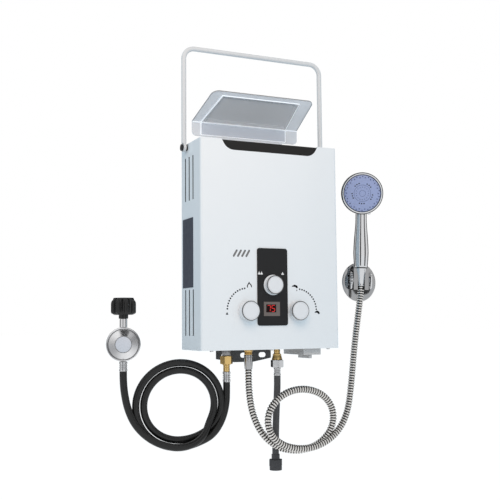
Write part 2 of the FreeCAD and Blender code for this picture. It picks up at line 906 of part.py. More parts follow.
def build_flue_hood():
    """Black exhaust hood: it widens from the heat exchanger to the flue opening."""
    body = new_body("flue_hood")
    mouth_foot = f"({HOOD_FOOT} + hood_cone_height)"
    mouth_front = "(cover_sheet + nest_gap - body_depth)"
    mouth_back = "(-flue_opening_back / 2 - cap_sheet)"

    def section(inset, height, half_width, front, back):
        across = f"({half_width} - {inset})"
        return draw_outline(new_sketch(body, "XY", height), rectangle(
            f"-{across}", across, f"{front} + {inset}", f"{back} - {inset}"))

    def loft(kind, inset, overshoot):
        foot = section(inset, f"{HOOD_FOOT} - {overshoot}", "chamber_width / 2",
                       CHAMBER_FRONT, "-chamber_back")
        head = section(inset, f"{mouth_foot} + {overshoot}", "hood_top_half",
                       mouth_front, mouth_back)
        made = body.newObject("PartDesign::" + kind, kind)
        made.Profile = foot
        made.Sections = [head]
        return made

    loft("AdditiveLoft", "0", "0")
    mouth = section("0", mouth_foot, "hood_top_half", mouth_front, mouth_back)
    pad(body, mouth, "hood_mouth_height")
    loft("SubtractiveLoft", "hood_sheet", "0.001")
    hollow = section("hood_sheet", f"{mouth_foot} + hood_mouth_height + 1", "hood_top_half",
                     mouth_front, mouth_back)
    pocket(body, hollow, "hood_mouth_height + 1")
    return piece(body, "flue_hood")


def build_fin_block():
    """Copper fin pack: rails at front and back carry upright fins."""
    body = new_body("fin_block")
    half = "chamber_width / 2"
    base = new_sketch(body, "XY", FIN_FOOT)
    draw_outline(base, rectangle(f"-{half}", half, CHAMBER_FRONT, "-chamber_back"))
    pad(body, base, "fin_height")
    gap = new_sketch(body, "XY", f"{FIN_FOOT} + fin_height + 1")
    left = "(-fin_pitch * (fin_count - 1) / 2 - fin_gap / 2)"
    draw_outline(gap, rectangle(
        left, f"{left} + fin_gap", f"{CHAMBER_FRONT} + fin_rail", "-chamber_back - fin_rail"))
    slots = pocket(body, gap, "fin_height + 2")
    repeat(body, slots, "H_Axis", "fin_pitch", "fin_count")
    return piece(body, "fin_block")


def build_chamber():
    """Copper combustion chamber, open at the top and the bottom, bored for the electrodes."""
    body = new_body("combustion_chamber")
    half = "(chamber_width / 2)"
    outside = new_sketch(body, "XY", CHAMBER_FOOT)
    draw_outline(outside, rectangle(f"-{half}", half, CHAMBER_FRONT, "-chamber_back"))
    pad(body, outside, "chamber_height")
    round_edges(body, CHAMBER_ROUND, lambda edge: runs_along(edge, 2))
    shell = "chamber_sheet"
    inside = new_sketch(body, "XY", f"{CHAMBER_FOOT} + chamber_height + 1")
    inner = f"({half} - {shell})"
    bend_x = f"({half} - {CHAMBER_ROUND})"
    front = f"({CHAMBER_FRONT} + {shell})"
    back = f"(-chamber_back - {shell})"
    bend_front = f"({CHAMBER_FRONT} + {CHAMBER_ROUND})"
    bend_back = f"(-chamber_back - {CHAMBER_ROUND})"
    draw_outline(inside, [
        (f"-{bend_x}", front), (bend_x, front), (inner, bend_front), (inner, bend_back),
        (bend_x, back), (f"-{bend_x}", back), (f"-{inner}", bend_back), (f"-{inner}", bend_front),
    ])
    pocket(body, inside, "chamber_height + 2")
    holes = new_sketch(body, "XZ", f"-({CHAMBER_FRONT}) + 1")
    for across in ELECTRODES:
        draw_circle(holes, across, ELECTRODE_Z, "electrode_radius + nest_gap")
    pocket(body, holes, "chamber_sheet + 2")
    return piece(body, "combustion_chamber")


CHAMBER_ROUND = "(coil_bend - coil_pipe_radius - nest_gap)"
ELECTRODES = ("-blade_pitch / 2", "blade_pitch / 2")
ELECTRODE_Z = f"({CHAMBER_FOOT} + 3 * electrode_radius)"


def build_coil_pipe():
    """Water pipe: up from the water valve, twice round the chamber, down to the hot outlet."""
    clear = "(coil_pipe_radius + nest_gap)"
    right = f"(chamber_width / 2 + {clear})"
    left = f"(-chamber_width / 2 - {clear})"
    outer_left = f"({left} - 2.4 * {clear})"
    front = f"({CHAMBER_FRONT} - {clear})"
    back = f"(-chamber_back + {clear})"
    low = f"({CHAMBER_FOOT} + coil_rise)"
    valve_side = "water_middle + water_block_width / 2"
    tap_z = f"({TOP} - side_knob_drop - coil_tap)"
    route = [
        (valve_side, "-fitting_depth", tap_z),
        (right, "-fitting_depth", tap_z),
        (right, "-fitting_depth", low),
        (right, back, f"{low} + coil_rise / 4"),
        (left, back, f"{low} + coil_rise / 2"),
        (left, front, f"{low} + coil_rise"),
        (right, front, f"{low} + coil_rise * 3 / 2"),
        (right, back, f"{low} + coil_rise * 2"),
        (outer_left, back, f"{low} + coil_rise * 5 / 2"),
        (outer_left, back, f"{BOTTOM} + 1.6 * hot_fitting_inside"),
        ("-hot_side", "-fitting_depth", f"{BOTTOM} + 1.4 * hot_fitting_inside"),
        ("-hot_side", "-fitting_depth", f"{BOTTOM} + hot_fitting_inside / 2"),
    ]
    points = [spot(*place_of) for place_of in route]
    made = bent_rod("coil_pipe", points, number("coil_pipe_radius"), number("coil_bend"))
    return piece(made, "coil_pipe")


def build_burner():
    """Row of burner blades standing on a rail at each end."""
    body = new_body("burner")
    half_deep = "blade_depth / 2"
    first = "(-blade_pitch * (blade_count - 1) / 2 - blade_width / 2)"
    blade = new_sketch(body, "XY", BURNER_FOOT)
    draw_outline(blade, rectangle(
        first, f"{first} + blade_width", f"{BURNER_Y} - {half_deep}", f"{BURNER_Y} + {half_deep}"))
    blades = pad(body, blade, "burner_height")
    repeat(body, blades, "H_Axis", "blade_pitch", "blade_count")
    for sign in ("-", "+"):
        rail = new_sketch(body, "XY", BURNER_FOOT)
        edge = f"{BURNER_Y} {sign} ({half_deep} - burner_rail / 2)"
        draw_outline(rail, rectangle(
            "-chamber_width / 2", "chamber_width / 2",
            f"{edge} - burner_rail / 2", f"{edge} + burner_rail / 2"))
        pad(body, rail, "burner_height / 3")
    return piece(body, "burner")


def build_manifold():
    """Gas bar under the burner, one nozzle for each blade, with its riser."""
    bar = rod((f"-manifold_length / 2", BURNER_Y, MANIFOLD_Z), "x",
              "manifold_radius", "manifold_length")
    count = int(number("blade_count"))
    nozzles = [
        rod((f"blade_pitch * {index - (count - 1) / 2}", BURNER_Y, MANIFOLD_Z), "z",
            "nozzle_radius", "manifold_radius + nozzle_height - stack_gap")
        for index in range(count)
    ]
    block_top = f"({TOP} - side_knob_drop + gas_block_height / 2)"
    riser = rod(("-gas_middle", BURNER_Y, block_top), "z", "pipe_radius",
                f"{MANIFOLD_Z} - {block_top}")
    return piece(fuse(bar, riser, *nozzles), "gas_manifold")


# Valves, spindles and knobs


SIDE_KNOB_Z = f"({TOP} - side_knob_drop)"
SEASON_KNOB_Z = f"({TOP} - season_knob_drop)"
SPINDLE_TIP = "(-body_depth - knob_gap - knob_bore)"


def valve_block(middle, width, depth, height, centre_z, knob_x):
    """Cast block with a bore for its spindle."""
    body = block((f"{middle} - {width} / 2", f"{middle} + {width} / 2"),
                 (f"-fitting_depth - {depth} / 2", f"{depth} / 2 - fitting_depth"),
                 (f"{centre_z} - {height} / 2", f"{centre_z} + {height} / 2"))
    neck = rod((knob_x, f"-fitting_depth - {depth} / 2 + 1", centre_z), "-y",
               "spindle_radius + valve_neck_wall",
               f"body_depth - fitting_depth - {depth} / 2 - spindle_neck_gap")
    bore = rod((knob_x, "-fitting_depth", centre_z), "-y",
               "spindle_radius + running_gap", "body_depth")
    return cut(fuse(body, neck), bore)


def build_valves():
    """Gas valve on the left and water valve on the right, each behind its knob."""
    gas = valve_block("-gas_middle", "gas_block_width", "gas_block_depth",
                      "gas_block_height", SIDE_KNOB_Z, "-knob_apart / 2")
    water = valve_block("water_middle", "water_block_width", "water_block_depth",
                        "water_block_height", SIDE_KNOB_Z, "knob_apart / 2")
    piece(gas, "gas_valve")
    piece(water, "water_valve")


def build_season_switch():
    """Flat rotary selector behind the upper knob."""
    back = "season_switch_depth - body_depth + cover_sheet + season_switch_gap"
    front = "-body_depth + cover_sheet + season_switch_gap"
    case = rod(("0", front, SEASON_KNOB_Z), "y", "season_switch_radius", "season_switch_depth")
    bore = rod(("0", back, SEASON_KNOB_Z), "-y", "spindle_radius + running_gap",
               "2 * season_switch_depth")
    foot = block(("-season_switch_radius", "season_switch_radius"), (front, back),
                 (f"{SEASON_KNOB_Z} - season_switch_radius", SEASON_KNOB_Z))
    return piece(cut(fuse(case, foot), bore), "season_switch")


def build_spindle(label, across, high, inner_end):
    """Round spindle from inside the valve into the knob."""
    length = f"{inner_end} - ({SPINDLE_TIP})"
    return piece(rod((across, inner_end, high), "-y", "spindle_radius", length), label)


def build_knob(label, across, high, seat, base_radius, radius, height):
    """Round knob with a base ring, a stepped face and a blind bore."""
    rim = f"({height} - knob_face_step)"
    face_radius = f"({radius} - knob_edge - knob_face_step)"
    profile = [
        ("spindle_radius", "0"),
        (base_radius, "0"),
        (base_radius, "knob_base_height"),
        (radius, "knob_base_height + knob_base_step"),
        (radius, f"{rim} - knob_edge"),
        (f"{radius} - knob_edge", rim),
        (face_radius, height),
        ("0", height),
        ("0", f"{SPINDLE_TIP} * -1 - ({seat})"),
        ("spindle_radius", f"{SPINDLE_TIP} * -1 - ({seat})"),
    ]
    body = turned(label, profile)
    place(body, (across, f"-({seat})", high), "-y")
    return piece(body, label)


def build_controls():
    """Spindles and knobs of the gas, water and season controls."""
    block_middle = "-fitting_depth"
    build_spindle("gas_spindle", "-knob_apart / 2", SIDE_KNOB_Z, block_middle)
    build_spindle("water_spindle", "knob_apart / 2", SIDE_KNOB_Z, block_middle)
    season_back = "(season_switch_depth - body_depth + cover_sheet + season_switch_gap)"
    build_spindle("season_spindle", "0", SEASON_KNOB_Z, season_back)
    side_seat = "body_depth + knob_gap"
    for label, across in (("gas_knob", "-knob_apart / 2"), ("water_knob", "knob_apart / 2")):
        build_knob(label, across, SIDE_KNOB_Z, side_seat,
                   "knob_base_radius", "knob_radius", "knob_height")
    build_knob("season_knob", "0", SEASON_KNOB_Z, "body_depth + panel_sheet + knob_gap",
               "season_base_radius", "season_knob_radius", "season_knob_height")


def build_control_panel():
    """Black panel on the front, with openings for the season spindle and the display."""
    body = new_body("control_panel")
    half = "panel_width / 2"
    high = f"{TOP} - panel_drop"
    face = draw_outline(new_sketch(body, "XZ", "body_depth"),
                        rectangle(f"-{half}", half, f"{high} - panel_height", high))
    pad(body, face, "panel_sheet")
    round_edges(body, "panel_round", lambda edge: runs_along(edge, 1))
    spindle = new_sketch(body, "XZ", "body_depth + 2 * panel_sheet")
    draw_circle(spindle, "0", SEASON_KNOB_Z, "spindle_hole")
    pocket(body, spindle, "3 * panel_sheet")
    left = "display_middle - display_width / 2"
    right = "display_middle + display_width / 2"
    top = f"{TOP} - display_drop"
    window = new_sketch(body, "XZ", "body_depth + 2 * panel_sheet")
    draw_outline(window, rectangle(left, right, f"{top} - display_height", top))
    pocket(body, window, "3 * panel_sheet")
    return piece(body, "control_panel")


def build_display():
    """Display bezel, and the module whose window stands behind it."""
    top = f"({TOP} - display_drop)"
    left = "(display_middle - display_width / 2)"
    right = "(display_middle + display_width / 2)"
    window_left = f"({left} + window_side)"
    window_top = f"({top} - window_drop)"
    frame = block((left, right), ("-body_depth - panel_sheet - bezel_proud", "-body_depth"),
                  (f"{top} - display_height", top))
    opening = block((window_left, f"{window_left} + window_width"),
                    ("-body_depth - 2 * panel_sheet", "1 - body_depth"),
                    (f"{window_top} - window_height", window_top))
    piece(cut(frame, opening), "display_bezel")
    window = block((f"{window_left} + nest_gap / 2", f"{window_left} + window_width - nest_gap / 2"),
                   ("-body_depth - panel_sheet + window_sunk", "-body_depth"),
                   (f"{window_top} - window_height + nest_gap / 2", f"{window_top} - nest_gap / 2"))
    case = block((f"{left} + 1", f"{right} - 1"), ("-body_depth", "display_depth - body_depth"),
                 (f"{top} - display_height + 1", f"{top} - 1"))
    piece(fuse(window, case), "display_module")


# Ignition and batteries


def build_ignition():
    """Spark box on the back plate, and the two electrodes beside the burner."""
    side = f"({HALF} - cover_sheet - nest_gap - back_sheet - 2)"
    foot = f"({BOTTOM} + battery_box_height - battery_box_below + igniter_lift)"
    box = block((f"{side} - igniter_width", side), ("-back_sheet - igniter_depth", "-back_sheet"),
                (foot, f"{foot} + igniter_height"))
    piece(box, "igniter_box")
    tip = f"({CHAMBER_FRONT} + chamber_sheet + 3 * electrode_radius)"
    length = f"{tip} - ({FRONT} + cover_sheet + electrode_clear)"
    rods = [rod((across, tip, ELECTRODE_Z), "-y", "electrode_radius", length)
            for across in ELECTRODES]
    piece(group(*rods), "ignition_electrodes")


BOX_LEFT = "(battery_middle - battery_box_width / 2)"
BOX_RIGHT = "(battery_middle + battery_box_width / 2)"
BOX_FRONT = "(-battery_box_back - battery_box_depth)"
BOX_FOOT = f"({BOTTOM} - battery_box_below)"
LID_TOP = f"({BOX_FOOT} + battery_lid_sheet)"


def build_battery_box():
    """Grey box for two cells, open at the foot, hung in the bottom panel."""
    wall = "battery_wall"
    top = f"({BOX_FOOT} + battery_box_height)"
    outside = block((BOX_LEFT, BOX_RIGHT), (BOX_FRONT, "-battery_box_back"), (BOX_FOOT, top))
    inside = block((f"{BOX_LEFT} + {wall}", f"{BOX_RIGHT} - {wall}"),
                   (f"{BOX_FRONT} + {wall}", f"-battery_box_back - {wall}"),
                   (f"{BOX_FOOT} - 1", f"{top} - {wall}"))
    pin_holes = rod((f"{BOX_LEFT} - 1", "-battery_box_back - battery_wall - 2 * lid_pin_radius",
                     f"{BOX_FOOT} + lid_pin_radius + battery_wall"), "x",
                    "lid_pin_radius + running_gap", "battery_box_width + 2")
    rim = f"({BOTTOM} + 2 * cover_sheet)"
    collar_out = block((f"{BOX_LEFT} - 2", f"{BOX_RIGHT} + 2"),
                       (f"{BOX_FRONT} - 2", "2 - battery_box_back"),
                       (f"{rim}", f"{rim} + {wall}"))
    piece(cut(fuse(outside, collar_out), inside, pin_holes), "battery_box")
    cell_z = f"({LID_TOP} + 2 * battery_wall)"
    cell_y = "(battery_box_back + battery_box_depth / 2)"
    cells = [
        rod(("battery_middle", f"{sign}(cell_radius + nest_gap) - {cell_y}", cell_z), "z",
            "cell_radius", "cell_length")
        for sign in ("-", "")
    ]
    piece(group(*cells), "batteries")


def build_battery_lid():
    """Lid that swings down on its own two pins, with a pull tab under it."""
    wall = "battery_wall"
    inner_left = f"({BOX_LEFT} + {wall} + lid_gap)"
    inner_right = f"({BOX_RIGHT} - {wall} - lid_gap)"
    pin_y = "(-battery_box_back - battery_wall - 2 * lid_pin_radius)"
    pin_z = f"({BOX_FOOT} + lid_pin_radius + battery_wall)"
    plate = block((inner_left, inner_right),
                  (f"{BOX_FRONT} + {wall} + lid_gap", pin_y), (BOX_FOOT, LID_TOP))
    knuckle = rod((inner_left, pin_y, pin_z), "x", "lid_pin_radius + battery_wall * 0.8",
                  f"{inner_right} - {inner_left}")
    pin = rod((BOX_LEFT, pin_y, pin_z), "x", "lid_pin_radius", "battery_box_width")
    tab = block(("battery_middle - lid_tab_width / 2", "battery_middle + lid_tab_width / 2"),
                (f"{BOX_FRONT} + {wall} + 6", f"{BOX_FRONT} + {wall} + 6 + lid_tab_length"),
                (f"{BOX_FOOT} - lid_tab_height", BOX_FOOT))
    return piece(fuse(plate, knuckle, pin, tab), "battery_lid")


# Carry handle, rain cap and screws


PIVOT_Z = f"({TOP} - pivot_drop)"


def build_handle():
    """Round steel bail with a flat ear at each end, on two shoulder screws."""
    top = f"({PIVOT_Z} + handle_rise)"
    route = [
        ("-handle_half", "-pivot_back", PIVOT_Z), ("-handle_half", "-pivot_back", top),
        ("handle_half", "-pivot_back", top), ("handle_half", "-pivot_back", PIVOT_Z),
    ]
    points = [spot(*place_of) for place_of in route]
    bow = bent_rod("handle_bow", points, number("rod_radius"), number("handle_bend"))
    ears = []
    holes = []
    for side, axis in (("-", "-x"), ("", "x")):
        start = f"{side}(handle_half - ear_thick / 2)"
        ears.append(rod((start, "-pivot_back", PIVOT_Z), axis, "ear_radius", "ear_thick"))
        holes.append(rod((f"{side}(handle_half - ear_radius)", "-pivot_back", PIVOT_Z), axis,
                         "screw_shank + running_gap", "2 * ear_radius"))
    trims = []
    for side in ("-", ""):
        inner = "handle_half - ear_thick / 2"
        outer = "handle_half + ear_thick / 2"
        reach = ("-pivot_back - ear_radius - 1", "ear_radius + 1 - pivot_back")
        high = (f"{PIVOT_Z} - ear_radius - 1", f"{PIVOT_Z} + ear_radius")
        spans = [(f"({inner} - 4)", f"({inner})"), (f"({outer})", f"({outer} + 4)")]
        for near, far in spans:
            span = (near, far) if side == "" else (f"-{far}", f"-{near}")
            trims.append(block(span, reach, high))
    whole = cut(fuse(cut(bow, *trims), *ears), *holes)
    piece(whole, "carry_handle")
    screws = []
    for side, axis in (("-", "-x"), ("", "x")):
        base = f"{side}({HALF} - 2 * cover_sheet - nest_gap - 2)"
        outer_face = f"(handle_half + ear_thick / 2 + nest_gap)"
        shank_length = f"{outer_face} - ({HALF} - 2 * cover_sheet - nest_gap - 2)"
        shank = rod((base, "-pivot_back", PIVOT_Z), axis, "screw_shank", shank_length)
        head = rod((f"{side}{outer_face}", "-pivot_back", PIVOT_Z), axis,
                   "screw_head", "screw_head_height")
        collar_length = f"(handle_half - ear_thick / 2 - nest_gap / 2) - {HALF}"
        collar = rod((f"{side}{HALF}", "-pivot_back", PIVOT_Z), axis, "screw_head", collar_length)
        screws.append(fuse(shank, head, collar))
    piece(group(*screws), "handle_screws")


def dished_plate(name, length, near_width, far_width, round_radius):
    """Flat plate in its own XY plane with a shallow dish pressed away from its face."""
    body = new_body(name)
    near = f"{near_width} / 2"
    far = f"{far_width} / 2"
    outline = draw_outline(new_sketch(body, "XY"), [
        (f"-{near}", "0"), (near, "0"), (far, length), (f"-{far}", length)])
    pad(body, outline, "cap_sheet")
    tip = number(length)
    round_edges(body, round_radius, lambda edge: runs_along(edge, 2)
                and abs(edge.Vertexes[0].Y - tip) < 1e-6)

    def dish(kind, height, inset, depth):
        rim = draw_outline(new_sketch(body, "XY", height), [
            (f"{inset} + cap_side_border - {near}", "cap_sheet"),
            (f"{near} - cap_side_border - {inset}", "cap_sheet"),
            (f"{far} - cap_side_border - {inset}", f"{length} - cap_end_border - {inset}"),
            (f"{inset} + cap_side_border - {far}", f"{length} - cap_end_border - {inset}"),
        ])
        made = feature(body, kind, rim, Length=depth)
        bind(made, TaperAngle="-cap_dish_draft")
        return made

    dish("Pad", "cap_sheet", "0", "cap_dish")
    hollow = dish("Pocket", "0", "cap_sheet", "cap_dish")
    hollow.Reversed = True
    return body


def build_rain_cap():
    """Clear plastic deflector: a skirt on the back plate and a dished roof rising forward."""
    back = "-back_sheet"
    fold_z = f"({TOP} + cap_fold_height)"
    roof = dished_plate("cap_roof", "cap_slope_length", "cap_width", "cap_front_width", "cap_round")
    slope = number("cap_slope")
    turn = Rotation(Vector(0, 0, 1), 180) * Rotation(Vector(1, 0, 0), slope)
    roof.Placement = Placement(Vector(), turn)
    bend = "cap_sheet / 2"
    for letter, text in zip("xyz", ("-cap_aside", f"{back} - {bend}", f"{fold_z} - {bend}")):
        roof.setExpression("Placement.Base." + letter, expression(text))
    left = "(-cap_aside - cap_width / 2)"
    right = "(cap_width / 2 - cap_aside)"
    skirt_foot = f"({fold_z} - cap_skirt)"
    rounded = f"({skirt_foot} + cap_skirt_round)"
    skirt = [
        block((left, right), (f"{back} - cap_sheet", back), (rounded, fold_z)),
        block((f"{left} + cap_skirt_round", f"{right} - cap_skirt_round"),
              (f"{back} - cap_sheet", back), (skirt_foot, rounded)),
    ]
    for corner in (f"{left} + cap_skirt_round", f"{right} - cap_skirt_round"):
        skirt.append(rod((corner, back, rounded), "-y", "cap_skirt_round", "cap_sheet"))
    tongue = block(("-cap_tongue_width / 2", "cap_tongue_width / 2"),
                   (f"{back} - cap_sheet", back),
                   (f"{TOP} - cap_tongue_depth", f"{skirt_foot} + 1"))
    holes = [
        rod((f"{side}cap_screw_apart / 2", "1", CAP_SCREW_Z), "-y",
            "panel_screw_radius", "2 + 2 * cap_sheet")
        for side in ("-", "")
    ]
    return piece(cut(fuse(roof, *skirt, tongue), *holes), "rain_cap")


CAP_SCREW_Z = f"({TOP} - cap_tongue_depth / 2)"


def panel_screw(at, axis, grip):
    """Pan-head sheet screw whose head seats at a point, driven along axis."""
    opposite = axis[1:] if axis.startswith("-") else "-" + axis
    shank = rod(at, axis, "panel_screw_radius", grip)
    head = taper(at, opposite, "panel_screw_head", "panel_screw_head * 0.7",
                 "panel_screw_head_height")
    return fuse(shank, head)


def build_panel_screws():
    """Screws that hold the cover's foot and the rain cap."""
    screws = [panel_screw((across, FOOT_SCREW_Y, BOTTOM), "z", "panel_screw_length")
              for across in FOOT_SCREWS]
    for side in ("-", ""):
        at = (f"{side}cap_screw_apart / 2", "-back_sheet - cap_sheet", CAP_SCREW_Z)
        screws.append(panel_screw(at, "y", "cap_sheet"))
    return piece(group(*screws), "panel_screws")


# Hose fittings under the casing


GAS_X = "-gas_line_side"
HOT_X = "-hot_side"
COLD_X = "cold_side"
FITTING_Y = "-fitting_depth"


def stack(across, deep, top, *sections):
    """Solids hung one under the other: each is (kind, size, size or none, length)."""
    solids = []
    level = top
    for kind, *sizes, length in sections:
        at = (across, deep, level)
        if kind == "round":
            solids.append(rod(at, "-z", sizes[0], length))
        elif kind == "taper":
            solids.append(taper(at, "-z", sizes[0], sizes[1], length))
        else:
            solids.append(hexagon(at, "-z", sizes[0], length))
        level = f"({level} - ({length}))"
    return solids, level


def build_gas_fittings():
    """Gas inlet pipe, swivel nut with its stem, and the two hose ferrules."""
    pipe = rod((GAS_X, FITTING_Y, f"{BOTTOM} - gas_pipe_below"), "z", "gas_pipe_radius",
               "gas_pipe_below + gas_pipe_inside")
    block_foot = f"({SIDE_KNOB_Z} - gas_block_height / 2)"
    inside_top = block((f"{GAS_X} - gas_pipe_notch", f"{GAS_X} + gas_pipe_notch"),
                       (f"{FITTING_Y} - gas_pipe_notch", f"{FITTING_Y} + gas_pipe_notch"),
                       (block_foot, f"{block_foot} + gas_pipe_inside"))
    piece(cut(pipe, inside_top), "gas_inlet_pipe")
    nut_top = f"({BOTTOM} - gas_pipe_below)"
    solids, foot = stack(GAS_X, FITTING_Y, nut_top,
                         ("hex", "gas_nut_flats", "gas_nut_height"),
                         ("round", "gas_stem_radius", "gas_stem_length"))
    piece(fuse(*solids), "gas_hose_nut")
    upper, foot = stack(GAS_X, FITTING_Y, foot, ("round", "ferrule_radius", "ferrule_length"))
    lower = rod((REGULATOR_X, FITTING_Y, f"{REGULATOR_Z} - regulator_radius"), "-z",
                "ferrule_radius", "regulator_ferrule_length")
    piece(group(upper[0], lower), "gas_hose_ferrules")


def build_hot_fittings():
    """Brass hot outlet and the tapered nut of the shower hose."""
    top = f"{BOTTOM} + hot_fitting_inside"
    hole = rod((HOT_X, FITTING_Y, f"{BOTTOM} + hot_fitting_inside / 2"), "z",
               "coil_pipe_radius", "hot_fitting_inside")
    solids, foot = stack(HOT_X, FITTING_Y, top,
                         ("round", "pipe_radius", "hot_fitting_inside + outlet_stub"),
                         ("round", "outlet_flange_radius", "outlet_flange_height"),
                         ("round", "pipe_radius + neck_step", "outlet_neck_height"))
    piece(cut(fuse(*solids), hole), "hot_outlet")
    nut, foot = stack(HOT_X, FITTING_Y, foot,
                      ("round", "shower_nut_radius", "shower_nut_height / 3"),
                      ("taper", "shower_nut_radius", "shower_hose_radius + hose_mouth_step",
                       "shower_nut_height * 2 / 3"))
    piece(fuse(*nut), "shower_hose_nut")


def build_cold_fittings():
    """Brass cold inlet, the steel swivel nut, the crimp and the end coupling."""
    top = f"({SIDE_KNOB_Z} - water_block_height / 2)"
    inside = f"({top} - {BOTTOM})"
    solids, foot = stack(COLD_X, FITTING_Y, top,
                         ("round", "pipe_radius", f"{inside} + inlet_stub"),
                         ("taper", "pipe_radius + neck_step", "cold_cone_radius", "cold_cone_height"))
    piece(fuse(*solids), "cold_inlet")
    nut, foot = stack(COLD_X, FITTING_Y, foot,
                      ("hex", "cold_nut_flats", "cold_nut_height"),
                      ("round", "cold_crimp_radius + neck_step", "cold_collar_height"))
    piece(fuse(*nut), "cold_hose_nut")
    crimp, foot = stack(COLD_X, FITTING_Y, foot,
                        ("round", "cold_crimp_radius", "cold_crimp_length"))
    piece(crimp[0], "cold_hose_crimp")
    return foot


# Gas regulator


REGULATOR_X = "-regulator_side"
REGULATOR_Z = "(top_above_hook - regulator_drop)"


def facing_camera(thing):
    """Turn a piece of the regulator about its upright stem."""
    at = spot(REGULATOR_X, FITTING_Y, REGULATOR_Z)
    thing.Placement = Placement(at, Rotation(Vector(0, 0, 1), -number("regulator_turn")))
    return thing


def build_regulator():
    """Round two-part regulator body, its stem, and the hand nut for the tank valve."""
    radius = "regulator_radius"
    half = "regulator_thick / 2"
    lid_profile = [
        ("0", "0"), (radius, "0"), (radius, "regulator_rim"),
        (f"{radius} - lid_step", "regulator_rim + lid_rise"),
        (f"{radius} - regulator_edge", "regulator_rim"),
        ("regulator_badge_radius", "regulator_lid_height"), ("0", "regulator_lid_height"),
    ]
    lid = turned("regulator_lid", lid_profile)
    place(lid, ("0", "-seat_gap", "0"), "-y")
    body_profile = [
        ("0", "0"), (radius, "0"), (radius, "regulator_rim"),
        (f"{radius} - regulator_edge", "regulator_rim + bowl_rise"), (f"{radius} / 2", half), ("0", half),
    ]
    bowl = turned("regulator_bowl", body_profile)
    place(bowl, ("0", "0", "0"), "y")
    for body, label in ((lid, "regulator_cover"), (bowl, "regulator_body")):
        wrapped = doc.addObject("Part::Compound", label)
        wrapped.Links = [body]
        facing_camera(wrapped)
        piece(wrapped, label)
    stem_foot = f"({REGULATOR_Z} + {radius})"
    stem_top = f"({REGULATOR_Z} + {radius} + stem_length)"
    nut_foot = f"({stem_top} + tank_collar_height)"
    nut_top = f"({nut_foot} + tank_nut_height)"
    shoulder = f"({nut_top} - tank_thread_depth)"
    stem = rod((REGULATOR_X, FITTING_Y, stem_foot), "z", "stem_radius", "stem_length - nest_gap / 2")
    core = rod((REGULATOR_X, FITTING_Y, stem_foot), "z", "stem_core_radius",
               f"{shoulder} - {stem_foot} + stem_lap")
    nipple = taper((REGULATOR_X, FITTING_Y, f"{shoulder} + nest_gap"), "z", "nipple_radius",
                   f"nipple_radius * {NIPPLE_TAPER}", "nipple_length")
    piece(fuse(stem, core, nipple), "regulator_stem")
    grip = rod((REGULATOR_X, FITTING_Y, nut_foot), "z", "tank_nut_radius", "tank_nut_height")
    collar = rod((REGULATOR_X, FITTING_Y, stem_top), "z", "tank_collar_radius",
                 "tank_collar_height + 1")
    bore = rod((REGULATOR_X, FITTING_Y, f"{stem_top} - 1"), "z",
               "stem_core_radius + running_gap", "tank_collar_height + tank_nut_height + 2")
    thread = rod((REGULATOR_X, FITTING_Y, shoulder), "z", "tank_thread_radius",
                 "tank_thread_depth + 1")
    ribs = []
    for index in range(TANK_NUT_RIBS):
        angle = 360 * index / TANK_NUT_RIBS
        across = f"{REGULATOR_X} + tank_nut_radius * cos({angle} deg)"
        deep = f"{FITTING_Y} + tank_nut_radius * sin({angle} deg)"
        ribs.append(rod((across, deep, f"{nut_foot} + tank_rib_margin"), "z", "tank_rib_radius",
                        "tank_nut_height - 2 * tank_rib_margin"))
    piece(cut(fuse(grip, collar, *ribs), bore, thread), "tank_nut")


TANK_NUT_RIBS = 10


# Hoses


GAS_DROP = [
    (-74, -51, -465), (-78.5, -52, -485.5), (-87, -53, -504.5),
    (-99, -54, -520.5), (-115, -54.5, -532),
]
GAS_LEAD = [
    (-130, -54, -533), (-153, -60, -542), (-178.5, -64, -543.5),
    (-201, -63.5, -538.5), (-222, -61, -529.5), (-241, -57.5, -515),
    (-256.5, -53.5, -496), (-267.5, -51, -471), (-273.5, -50.2, -444),
]
SHOWER_ROUTE = [
    (-26, -51, -455), (-23.5, -54, -480), (-18.5, -58.5, -502),
    (-10.5, -63, -521), (1.5, -66, -537), (18.5, -67.5, -550.5),
    (39, -68.5, -559.5), (61.5, -69, -564), (84.5, -69.5, -563.5),
    (107, -70.5, -557.5), (126, -72, -545.5), (139.5, -73.5, -529),
    (146, -75, -509), (143.5, -76.5, -488.5), (133, -78, -470.5),
    (115.5, -80, -456.5), (93, -82, -448), (69, -84, -445),
    (45, -86, -448), (23.5, -87.5, -457), (6.5, -88.5, -471),
    (-3.5, -89, -488.5), (-5.5, -89, -507.5), (0, -88.8, -525),
    (12, -88.5, -539.5), (29.5, -88, -550.5), (51, -87.5, -557),
    (75, -86.5, -559.5), (100, -84.5, -557), (124.5, -81.5, -549.5),
    (146.5, -77.5, -538), (164.5, -73.5, -522.5), (178, -69.5, -503.5),
    (187.5, -65, -482), (194.5, -60.5, -458.5), (201.5, -55.5, -431),
    (208, -50.5, -402), (214.5, -46, -372), (221.5, -42, -341.5),
    (228.5, -38.8, -311), (234.2, -37, -284),
]
COLD_ROUTE = [(34.6, -50.4, -442), (33, -50, -475), (31, -50.4, -508)]


def chosen(route):
    """Vectors of a hose's chosen points."""
    return [Vector(*place_of) for place_of in route]


